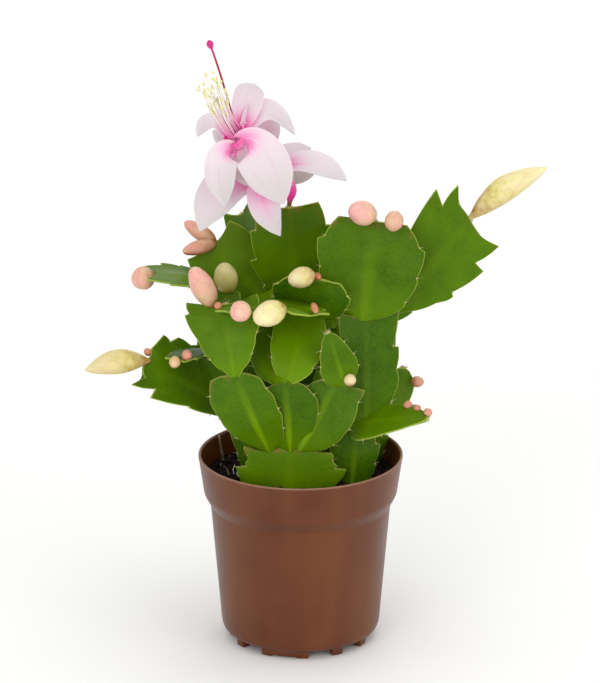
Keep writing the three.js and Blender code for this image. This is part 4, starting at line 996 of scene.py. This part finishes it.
# A row is a bud, the way it grows, its radius, cream or pink, how russet its foot and how deep the shade
# painted on its underside, how ruddy and how green it is, and 1 where it is slender.
BUDS = [
    ("bud_far_right", (26.4, -1, 18.8), 4.3, "cream", (0.3, 0, 0.1), 1),
    ("bud_far_left", (-20.4, -6, -1.2), 4.1, "cream", (0.25, 0.1, 0.2), 1),
    ("bud_low_tip", (-2.2, 0.2, 3), 1.3, "pink", (0.9, 0.7, 0), 0),
    ("bud_fan_left", (-6.8, -7, 4.4), 4.1, "pink", (0.2, 0, 0), 0),
    ("bud_fan_right", (6.4, -6.6, 0.2), 3.5, "pink", (0.35, 0.25, 0), 0),
    ("bud_short_cream", (-0.6, -4, -0.4), 1.9, "cream", (0.8, 0.4, 0), 0),
    ("bud_short_pink", (0.9, -3.6, 1.2), 1.7, "pink", (0.8, 0.55, 0), 0),
    ("bud_left_top", (-6.4, -1, -2.2), 3.9, "pink", (0.3, 0.15, 0), 0),
    ("bud_upper_left", (-6.3, -5, 14.2), 3.9, "pink", (0.3, 0.1, 0), 0),
    ("bud_upper_tiny", (-0.6, -3, 0.8), 1.3, "pink", (0.7, 0.7, 0), 0),
    ("bud_olive", (-1.2, -6.4, 10.4), 4, "cream", (0.5, 0, 0.5), 0),
    ("bud_shelf_pink", (-5.4, -5.4, -3), 3.5, "pink", (0.15, 0, 0), 0),
    ("bud_shelf_cream", (-7.8, -5.8, -1.4), 4.2, "cream", (0.2, 0, 0), 0),
    ("bud_shelf_tiny", (0.6, -3, -0.6), 1.2, "pink", (0.8, 0.8, 0), 0),
    ("bud_crown_cream", (-8.2, -5, -0.8), 3.5, "cream", (0.5, 0.1, 0.12), 0),
    ("bud_crown_tiny", (0.6, -3, 0.6), 1.3, "pink", (0.8, 0.9, 0), 0),
    ("bud_middle_upper", (-8.4, -1.6, 6.4), 2.7, "pink", (0.6, 0.25, 0), 0),
    ("bud_middle_lower", (-9.2, -8.4, 0.2), 2.5, "pink", (1, 0.35, 0), 0),
    ("bud_small_yellow", (2, -3.4, 0.6), 2.1, "cream", (1, 0.15, 0), 0),
    ("bud_side", (4.2, -1, 0.2), 1.9, "pink", (0.8, 0.5, 0), 0),
    ("bud_low_right_a", (-0.2, -1.4, 2.4), 1.5, "pink", (0.8, 0.65, 0), 0),
    ("bud_low_right_b", (0, -1.2, 2), 1.2, "pink", (0.8, 0.65, 0), 0),
    ("bud_low_right_c", (0.8, -1.4, 2.2), 1.5, "pink", (0.7, 0.5, 0), 0),
    ("bud_back_top", (1, 6, 1), 2.6, "pink", (0.4, 0.3, 0), 0),
    ("bud_back_crown", (-3, 9, 7), 3.4, "cream", (0.4, 0, 0.2), 0),
    ("bud_back_low", (-2, 5, 1.5), 2.2, "pink", (0.5, 0.4, 0), 0),
]
BUD_COLOURS = {  # foot, lower part, upper part, tip, blotches
    "cream": ("9a5f28", "cdc25e", "efe3a2", "f2e9bc", "ecd9ac"),
    "pink": ("94461f", "dcb78e", "eab2a0", "ecaca6", "e4cca4"),
}


def bud_skin(name, colours):
    """The waxy, mottled skin of a bud, darker at its foot, with shade painted on its underside and under each
    scale's lip. Light goes into it.
    """
    foot, lower, upper, tip, spot = (paint(colour) for colour in colours)
    skin, tree, shader = new_finish(name)
    on_piece = add_node(tree, "TexCoord").outputs["Object"]
    values = add_node(tree, "Attribute", attribute_name="leaf")
    parts = add_node(tree, "SeparateXYZ", {0: values.outputs["Vector"]})
    finish_values = add_node(tree, "Attribute", attribute_name="finish")
    finish_parts = add_node(tree, "SeparateColor", {0: finish_values.outputs["Color"]})
    russet_and_under_shade, ruddiness, greenness = (finish_parts.outputs[i] for i in range(3))
    mottle = add_node(tree, "TexNoise", {"Vector": on_piece, "Scale": 1 / (2.2 * MM), "Detail": 3})
    shift = add_node(tree, "MapRange", {0: mottle, 1: 0.3, 2: 0.7, 3: -0.12, 4: 0.12})
    height = add_node(tree, "Math", {0: parts.outputs[1], 1: shift}, operation="ADD")
    foot_end = add_node(tree, "Math", {0: russet_and_under_shade, 1: 0.12}, operation="ADD")
    foot_share = add_node(tree, "Math", {0: height, 1: foot_end}, operation="DIVIDE", use_clamp=True)
    middle_share = add_node(tree, "MapRange", {0: height, 1: 0.22, 2: 0.62})
    tip_share = add_node(tree, "MapRange", {0: height, 1: 0.6, 2: 1.0})
    blotches = add_node(tree, "TexNoise", {"Vector": on_piece, "Scale": 1 / (4.5 * MM), "Detail": 2})
    blotch = add_node(tree, "MapRange", {0: blotches, 1: 0.42, 2: 0.62, 3: 0, 4: 0.6})
    # Painted shade: the underside of a bud is darkened to its russet foot colour, as far as its russet value
    # goes.
    facing = add_node(tree, "NewGeometry")
    facing_parts = add_node(tree, "SeparateXYZ", {0: facing.outputs["Normal"]})
    under = add_node(tree, "MapRange", {0: facing_parts.outputs[2], 1: -0.05, 2: -0.75, 3: 0, 4: 0.75})
    underside_painted_shade = add_node(tree, "Math", {0: under, 1: russet_and_under_shade}, operation="MULTIPLY")
    # Painted shade: a dark band is painted under each scale's lip, in the crease where it overlaps.
    lip = add_node(tree, "MapRange", {0: parts.outputs[2], 1: 0.35, 2: 1, 3: 0, 4: 0.11})
    layers = [
        (foot_share, lower),
        (middle_share, upper),
        (tip_share, tip),
        (blotch, spot),
        (ruddiness, paint("bd7440")),
        (underside_painted_shade, foot),
        (greenness, paint("9a9410")),
        (lip, foot),
    ]
    tint = foot
    for share, colour in layers:
        tint = add_node(tree, "Mix", {0: share, 6: tint, 7: colour}, data_type="RGBA")
    fine = add_node(tree, "TexNoise", {"Vector": on_piece, "Scale": 1 / (0.4 * MM), "Detail": 2})
    bump = add_node(tree, "Bump", {"Height": fine, "Strength": 0.3, "Distance": 0.03 * MM})
    surface = {
        "Base Color": tint,
        "Normal": bump,
        "Roughness": 0.38,
        "Subsurface Weight": 0.2,
        "Subsurface Radius": (1.0, 0.6, 0.4),
        "Subsurface Scale": 1.5 * MM,
    }
    feed(tree, shader, surface)
    return skin


def ends_along(name, heading):
    """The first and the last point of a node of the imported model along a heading, in millimetres."""
    corners = [TO_PLACE.inverted() @ vert.co for vert in frame["nodes"][name].data.vertices]
    return min(corners, key=heading.dot), max(corners, key=heading.dot)


bud_skins = {colour: bud_skin(colour + "_bud_skin", colours) for colour, colours in BUD_COLOURS.items()}
for number, (name, grows, radius, colour, ripeness, slender) in enumerate(BUDS):
    heading = Vector(grows).normalized()
    foot, tip = ends_along(name, heading)
    foot -= heading * BUD_SUNK
    axis = tip - foot
    turned = axis.to_track_quat("Z", "Y").to_matrix()
    around, tall = BUD_GRIDS["small" if radius < BUD_GRIDS["small_under"] else "large"]
    bm = new_leafy()
    leaf = bm.verts.layers.float_vector["leaf"]
    finish = bm.verts.layers.float_color["finish"]
    bmesh.ops.create_uvsphere(bm, u_segments=around, v_segments=tall, radius=1)
    for vert in bm.verts:
        t = 1 - math.acos(max(-1, min(1, vert.co.z))) / math.pi
        angle = math.atan2(vert.co.y, vert.co.x)
        wide = ease_along(SLENDER_BUD if slender else PLUMP_BUD, t)
        # lip marks the crease under each scale's overlap, where the skin paints shade.
        lip = 0
        for tier in range(BUD_SCALES["tiers"]):
            turn = angle * BUD_SCALES["around"] / 2 + tier * 1.2 + number
            top = BUD_SCALES["first"] + BUD_SCALES["rise"] * tier
            top += BUD_SCALES["dip"] * abs(math.cos(turn)) ** 1.5
            past = (t - top) / BUD_SCALES["soft"]
            wide -= BUD_SCALES["step"] * math.tanh(past * 1.5) * wide
            lip = max(lip, math.exp(-((past - 0.4) ** 2)))
        bend = BUD_BEND * math.sin(math.pi * t) * axis.length * slender
        off_axis = Vector((math.cos(angle) * wide * radius, math.sin(angle) * wide * radius + bend, 0))
        vert.co = foot + axis * t + turned @ off_axis
        vert[leaf] = (angle / math.pi, t, lip)
        vert[finish] = (*ripeness, 1)
    bmesh.ops.recalc_face_normals(bm, faces=bm.faces)
    settle(to_object(name + "_scales", bm, bud_skins[colour]), colour + "_bud", name)


# The flower: one bloom, open and leaning up and out. The ovary sits on the segment's end, and from it rises
# the tube, whose petals spread and turn back in tiers, white flushed with hot pink towards their foot.
TUBE_FOOT = Vector((-3, 11.9, 158.6))
THROAT = Vector((-22, -3, 180.2))
STIGMA = Vector((-29.7, -12, 214))
STAMENS_TOWARDS = Vector((-31, -14, 203.2))
TUBE_OUTLINE = [(0, 0, 0), (1.5, 0, 0.3), (2.1, 5, 2), (2.8, 17, 4), (3.5, 26, 3), (4.3, 33, 0.3)]
TUBE_OUTLINE += [(4.0, 33.4, 0.2), (3.5, 32.4, 0.8), (2.6, 25.2, 0.5), (0, 25, 0)]
TUBE_STEPS = 48
TUBE_FLOOR = 24.9
TUBE_MOUTH = 33
TUBE_WALL = 0.4
# A row is how far up the tube a petal stands, its middle, its tip, its width, the way it looks, how pink its
# foot is and how far the pink runs.
PETALS = [
    (31, (-17.7, 5, 190.6), (-16, 9, 195.3), 10.5, (0, 25), 0.9, 1),
    (30, (-11.3, 6, 186.8), (-1.9, 9, 177.1), 9, (30, 50), 0.4, 1),
    (31, (-13, -11, 174.8), (-6, -6, 157.5), 17, (14, 0), 0.8, 1),
    (30, (-26.5, -10, 172.5), (-25.4, -8, 157.5), 11.5, (-18, 0), 0.8, 1),
    (31, (-29.6, 0.5, 184.4), (-34.7, -0.5, 179.5), 8, (-40, 60), 0.8, 1),
    (30, (-14.4, 14, 180.8), (-9.7, 20, 167.7), 12, (160, 20), 0.5, 1),
    (29.5, (-24.5, 12, 178.6), (-23.3, 18, 165.4), 10.5, (200, 10), 0.5, 1),
    (13, (-25.1, 0, 162.2), (-33.9, -4, 147.3), 14, (-15, 10), 1, 1.6),
    (8, (-12.7, -2, 159), (-6.9, -4, 145.5), 11, (0, 10), 1, 2),
    (10, (3.8, 6, 168.1), (15.7, 4, 162.4), 9.5, (10, 55), 0.8, 1),
    (15, (-2.9, 13, 169.5), (3.5, 17, 170), 7.5, (30, 50), 0.6, 1),
    (10, (-1.2, 23, 161.6), (-2.3, 31, 152.9), 12, (175, 10), 0.8, 1),
    (13, (-19.6, 20, 165), (-25.8, 28, 158), 12, (205, 20), 0.8, 1),
    (31, (-19.6, -5.2, 173.4), (-18, -3, 163), 12, (0, 0), 1, 1),
]
PETAL_EDGE = [(0, 0.5), (0.22, 0.84), (0.5, 1), (0.75, 0.88), (0.92, 0.42), (1, 0.04)]
PETAL = {"half": 0.2, "margin_half": 0.1, "columns": 16, "rows": 30, "cup": 0.16, "ripple": 0.35}


def tube_radius(distance):
    """The tube's outer radius at a distance along it."""
    return ease_along([(height, radius) for radius, height, _ in TUBE_OUTLINE[1:6]], distance)


# A petal is thin and silky and lets light through: fine streaks run along it, and the pink fades up it.
petal_skin, tree, shader = new_finish("translucent_pink_petal")
values = add_node(tree, "Attribute", attribute_name="leaf")
parts = add_node(tree, "SeparateXYZ", {0: values.outputs["Vector"]})
finish_values = add_node(tree, "Attribute", attribute_name="finish")
finish_parts = add_node(tree, "SeparateColor", {0: finish_values.outputs["Color"]})
pinkness, pink_run = finish_parts.outputs[0], finish_parts.outputs[1]
streak_place = add_node(tree, "Mapping", {"Vector": values.outputs["Vector"], "Scale": (7, 0.9, 5)})
streaks = add_node(tree, "TexNoise", {"Vector": streak_place, "Scale": 1, "Detail": 3})
streak_shift = add_node(tree, "MapRange", {0: streaks, 1: 0.3, 2: 0.7, 3: -0.08, 4: 0.08})
reach = add_node(tree, "Math", {0: parts.outputs[1], 1: streak_shift}, operation="ADD")
from_middle = add_node(tree, "Math", {0: parts.outputs[0]}, operation="ABSOLUTE")
narrowing = add_node(tree, "Math", {0: from_middle, 1: 0.22, 2: reach}, operation="MULTIPLY_ADD")
run = add_node(tree, "Math", {0: narrowing, 1: pink_run}, operation="DIVIDE")
flush = add_node(tree, "MapRange", {0: run, 1: 0.02, 2: 0.6, 3: 1, 4: 0}, interpolation_type="SMOOTHERSTEP")
flush_deep = add_node(tree, "Math", {0: flush, 1: pinkness}, operation="MULTIPLY", use_clamp=True)
body_share = add_node(tree, "MapRange", {0: reach, 1: 0.25, 2: 0.85})
tint = add_node(tree, "Mix", {0: body_share, 6: paint("e7d4db"), 7: paint("cfc9ca")}, data_type="RGBA")
hot = add_node(tree, "Math", {0: flush_deep, 1: 2.4}, operation="POWER")
vein = add_node(tree, "MapRange", {0: streaks, 1: 0.5, 2: 0.66, 3: 0, 4: 0.08})
for share, colour in ((flush_deep, "f09cc8"), (hot, "f52f9b"), (vein, "f08fc4")):
    tint = add_node(tree, "Mix", {0: share, 6: tint, 7: paint(colour)}, data_type="RGBA")
petal_bump = add_node(tree, "Bump", {"Height": streaks, "Strength": 0.4, "Distance": 0.12 * MM})
surface = {
    "Base Color": tint,
    "Normal": petal_bump,
    "Roughness": 0.5,
    "Subsurface Weight": 0.35,
    "Subsurface Radius": (1.0, 0.5, 0.7),
    "Subsurface Scale": 2 * MM,
    "Sheen Weight": 0.15,
}
feed(tree, shader, surface)

tube_axis = (THROAT - TUBE_FOOT).normalized()
bm = new_leafy()
leaf = bm.verts.layers.float_vector["leaf"]
finish = bm.verts.layers.float_color["finish"]
spin_outline(bm, filleted(TUBE_OUTLINE), TUBE_STEPS)
for vert in bm.verts:
    x, y, z = vert.co
    inside = z > TUBE_FLOOR and math.hypot(x, y) < tube_radius(min(TUBE_MOUTH, z)) - TUBE_WALL
    paleness = 0 if inside else 0.1 + 0.25 * abs(math.sin(z * 0.19))
    vert[leaf] = (0.2, paleness, math.atan2(y, x))
    vert[finish] = (1, 1, 0, 1)
bmesh.ops.transform(bm, matrix=stand(TUBE_FOOT, tube_axis), verts=bm.verts)
for number, (distance, middle, tip, width, look, pinkness, pink_run) in enumerate(PETALS):
    middle, tip = Vector(middle), Vector(tip)
    on_axis = TUBE_FOOT + tube_axis * distance
    away = middle - on_axis
    away = (away - tube_axis * away.dot(tube_axis)).normalized()
    root = on_axis + away * (tube_radius(distance) - 0.25)
    control = middle * 2 - root * 0.5 - tip * 0.5
    looks = look_vector(*look)

    def petal_shape(column, row):
        v = row / PETAL["rows"]
        u = 2 * column / PETAL["columns"] - 1
        heading = ((control - root) * (1 - v) + (tip - control) * v).normalized()
        out = (looks - heading * looks.dot(heading)).normalized()
        half = ease_along(PETAL_EDGE, v)
        point = root * (1 - v) ** 2 + control * 2 * v * (1 - v) + tip * v**2
        ripple = PETAL["ripple"] * u * u * v * math.sin(5.5 * v + 2.1 * number + 1.5 * u)
        point += heading.cross(out) * (u * half * width / 2)
        point += out * (PETAL["cup"] * width * half * (u * u - 0.5) + ripple)
        thick = PETAL["margin_half"] + (PETAL["half"] - PETAL["margin_half"]) * (1 - u * u)
        return point, out * thick, (u, v, number)

    before = len(bm.verts)
    grow_sheet(bm, PETAL["columns"], PETAL["rows"], petal_shape)
    bm.verts.ensure_lookup_table()
    for vert in bm.verts[before:]:
        vert[finish] = (pinkness, pink_run, 0, 1)
bmesh.ops.recalc_face_normals(bm, faces=bm.faces)
flower = to_object("flower_bloom", bm, petal_skin)
flower.data.set_sharp_from_angle(angle=math.radians(60))
settle(flower, "petal", "flower_petals")


# The ovary: the small knob between the segment's end and the tube, where the fruit would form. It is smooth
# and hot pink on a russet foot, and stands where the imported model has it.
OVARY_OUTLINE = [  # radius, share of the length and fillet
    (0, 0, 0),
    (0.7, 0, 0.2),
    (0.9, 0.31, 0.8),
    (1.85, 0.55, 0.9),
    (2.05, 0.75, 0.7),
    (1.4, 0.97, 0.3),
    (0, 1, 0),
]
OVARY_FOOT = Vector((-4.1, 13.9, 149.6))
OVARY_TOP = Vector((-2.6, 12.4, 157.6))
OVARY_INTO_TUBE = 0.3
OVARY_STEPS = 32

# Its skin is taut and glossy, like a small fruit's.
ovary_skin, tree, shader = new_finish("smooth_pink_ovary")
values = add_node(tree, "Attribute", attribute_name="leaf")
parts = add_node(tree, "SeparateXYZ", {0: values.outputs["Vector"]})
on_piece = add_node(tree, "TexCoord").outputs["Object"]
mottle = add_node(tree, "TexNoise", {"Vector": on_piece, "Scale": 1 / (1.6 * MM), "Detail": 2})
shift = add_node(tree, "MapRange", {0: mottle, 1: 0.3, 2: 0.7, 3: -0.15, 4: 0.15})
height = add_node(tree, "Math", {0: parts.outputs[1], 1: shift}, operation="ADD")
ripeness = add_node(tree, "MapRange", {0: height, 1: 0.28, 2: 0.5})
ovary_tint = add_node(tree, "Mix", {0: ripeness, 6: paint("8c5a3a"), 7: paint("f73fa8")}, data_type="RGBA")
surface = {"Base Color": ovary_tint, "Roughness": 0.35, "Subsurface Weight": 0.15, "Subsurface Scale": MM}
feed(tree, shader, surface)

ovary_up = (OVARY_TOP - OVARY_FOOT).normalized()
ovary_foot = ends_along("flower_ovary", ovary_up)[0] - ovary_up * BUD_SUNK
ovary_length = (TUBE_FOOT - ovary_foot).length + OVARY_INTO_TUBE
bm = new_leafy()
leaf = bm.verts.layers.float_vector["leaf"]
outline = [(radius, share * ovary_length, fillet) for radius, share, fillet in OVARY_OUTLINE]
spin_outline(bm, filleted(outline), OVARY_STEPS)
for vert in bm.verts:
    vert[leaf] = (0, vert.co.z / ovary_length, 0)
bmesh.ops.transform(bm, matrix=stand(ovary_foot, TUBE_FOOT - ovary_foot), verts=bm.verts)
settle(to_object("flower_ovary_knob", bm, ovary_skin), "ovary", "flower_ovary")


# The stamens: a sheaf of fine filaments in a ring on the floor of the throat, which lean out of it with the
# style. Each is pink at its foot and white above, and ends in a small anther of pale yellow pollen.
STAMENS = {"count": 60, "ring": 2.3, "root": 25.5, "shortest": 13, "vary": 15, "seed": 31}
FILAMENT = {"radius": 0.2, "taper": 0.4, "steps": 8, "sides": 6}
ANTHER = {"radius": 0.36, "half_length": 0.95}


def curve_points(start, pull_start, pull_end, end, steps):
    """Points along a curve that leaves its start and reaches its end towards two pulling points."""
    shares = [k / steps for k in range(steps + 1)]
    near = [start * (1 - t) ** 3 + pull_start * 3 * t * (1 - t) ** 2 for t in shares]
    return [point + pull_end * 3 * t**2 * (1 - t) + end * t**3 for point, t in zip(near, shares)]


# A filament is moist and half clear.
filament, tree, shader = new_finish("white_filament")
values = add_node(tree, "Attribute", attribute_name="leaf")
parts = add_node(tree, "SeparateXYZ", {0: values.outputs["Vector"]})
paling = add_node(tree, "MapRange", {0: parts.outputs[1], 1: 0.42, 2: 0.8})
filament_tint = add_node(tree, "Mix", {0: paling, 6: paint("f48cc2"), 7: paint("fbf4ee")}, data_type="RGBA")
surface = {"Base Color": filament_tint, "Roughness": 0.5, "Subsurface Weight": 0.2, "Subsurface Scale": MM}
feed(tree, shader, surface)

# Pollen is a dull powder, so fine that its grains are drawn coarser than they are.
pollen, tree, shader = new_finish("powdery_yellow_pollen")
on_piece = add_node(tree, "TexCoord").outputs["Object"]
grains = add_node(tree, "TexNoise", {"Vector": on_piece, "Scale": 1 / (0.3 * MM), "Detail": 2})
pollen_tint = add_node(tree, "Mix", {0: grains, 6: paint("dcd488"), 7: paint("f1ebb8")}, data_type="RGBA")
bump = add_node(tree, "Bump", {"Height": grains, "Strength": 0.8, "Distance": 0.1 * MM})
feed(tree, shader, {"Base Color": pollen_tint, "Normal": bump, "Roughness": 0.85})

onward = (STAMENS_TOWARDS - THROAT).normalized()
sideways = tube_axis.cross(Vector((0, 0, 1))).normalized()
upward = tube_axis.cross(sideways)
bm = bmesh.new()
bmesh.ops.create_icosphere(bm, subdivisions=2, radius=1)
anther = to_template(bm)
bm = new_leafy()
anthers = bmesh.new()
draw = random.Random(STAMENS["seed"])
for i in range(STAMENS["count"]):
    angle = math.tau * i / STAMENS["count"] + draw.uniform(-0.1, 0.1)
    side = sideways * math.cos(angle) + upward * math.sin(angle)
    reach = STAMENS["shortest"] + STAMENS["vary"] * draw.random()
    ring = STAMENS["ring"] * draw.uniform(0.7, 1.05)
    root = TUBE_FOOT + tube_axis * STAMENS["root"] + side * ring
    lip = THROAT + side * (ring + 0.3)
    end = THROAT + side * (ring + draw.uniform(0.2, 2.2)) + onward * reach
    bend = lip + tube_axis * 3.5 + onward * reach * 0.35
    points = curve_points(root, lip, bend, end, FILAMENT["steps"])
    radii = taper(FILAMENT["radius"], FILAMENT["taper"], FILAMENT["steps"])
    grow_rod(bm, points, radii, FILAMENT["sides"])
    heading = onward + side * draw.uniform(-0.5, 0.9) + sideways * draw.uniform(-0.4, 0.4)
    sized = Matrix.Diagonal((ANTHER["radius"], ANTHER["radius"], ANTHER["half_length"], 1))
    stamp(anthers, anther, stand(points[-1], heading) @ sized)
bpy.data.meshes.remove(anther)
bmesh.ops.recalc_face_normals(bm, faces=bm.faces)
settle(to_object("flower_filaments", bm, filament), "stamen", "flower_stamens")
settle(to_object("flower_anthers", anthers, pollen), "stamen", "flower_stamens")


# The style: a slim crimson column that rises through the stamens and reaches far past them. Its stigma is a
# magenta knob of six lobes that are still closed.
STYLE = {"radius": 0.36, "steps": 18, "sides": 14, "root": 25.7}
STYLE_SWAY = Vector((1.7, 0, -0.2))
STIGMA_OUTLINE = [(0, -1, 0), (0.75, -0.2, 0.3), (1.25, 1, 0.5), (1.05, 2.2, 0.5), (0, 3, 0)]
STIGMA_LOBES = {"count": 6, "pinch": 0.16, "steps": 48}

# The skin is smooth and moist, deep crimson up to the stigma.
style_skin, tree, shader = new_finish("crimson_style")
values = add_node(tree, "Attribute", attribute_name="leaf")
parts = add_node(tree, "SeparateXYZ", {0: values.outputs["Vector"]})
ripening = add_node(tree, "MapRange", {0: parts.outputs[1], 1: 0.9, 2: 1.0})
style_tint = add_node(tree, "Mix", {0: ripening, 6: paint("9c0828"), 7: paint("c80e80")}, data_type="RGBA")
surface = {"Base Color": style_tint, "Roughness": 0.4, "Subsurface Weight": 0.1, "Subsurface Scale": MM}
feed(tree, shader, surface)

start = TUBE_FOOT + tube_axis * STYLE["root"]
middle = (THROAT + STIGMA) / 2 + STYLE_SWAY
points = curve_points(start, THROAT, middle, STIGMA, STYLE["steps"])
bm = bmesh.new()
leaf = bm.verts.layers.float_vector.new("leaf")
spin_outline(bm, filleted(STIGMA_OUTLINE), STIGMA_LOBES["steps"])
for vert in bm.verts:
    around = math.atan2(vert.co.y, vert.co.x)
    pinch = 1 - STIGMA_LOBES["pinch"] * abs(math.sin(around * STIGMA_LOBES["count"] / 2)) ** 0.7
    vert.co.x *= pinch
    vert.co.y *= pinch
    vert[leaf] = (0, 1, 0)
stigma = to_template(bm)
bm = new_leafy()
grow_rod(bm, points, [STYLE["radius"]] * len(points), STYLE["sides"])
stamp(bm, stigma, stand(STIGMA, points[-1] - points[-2]))
bpy.data.meshes.remove(stigma)
bmesh.ops.recalc_face_normals(bm, faces=bm.faces)
settle(to_object("flower_style_and_stigma", bm, style_skin), "style", "flower_style")
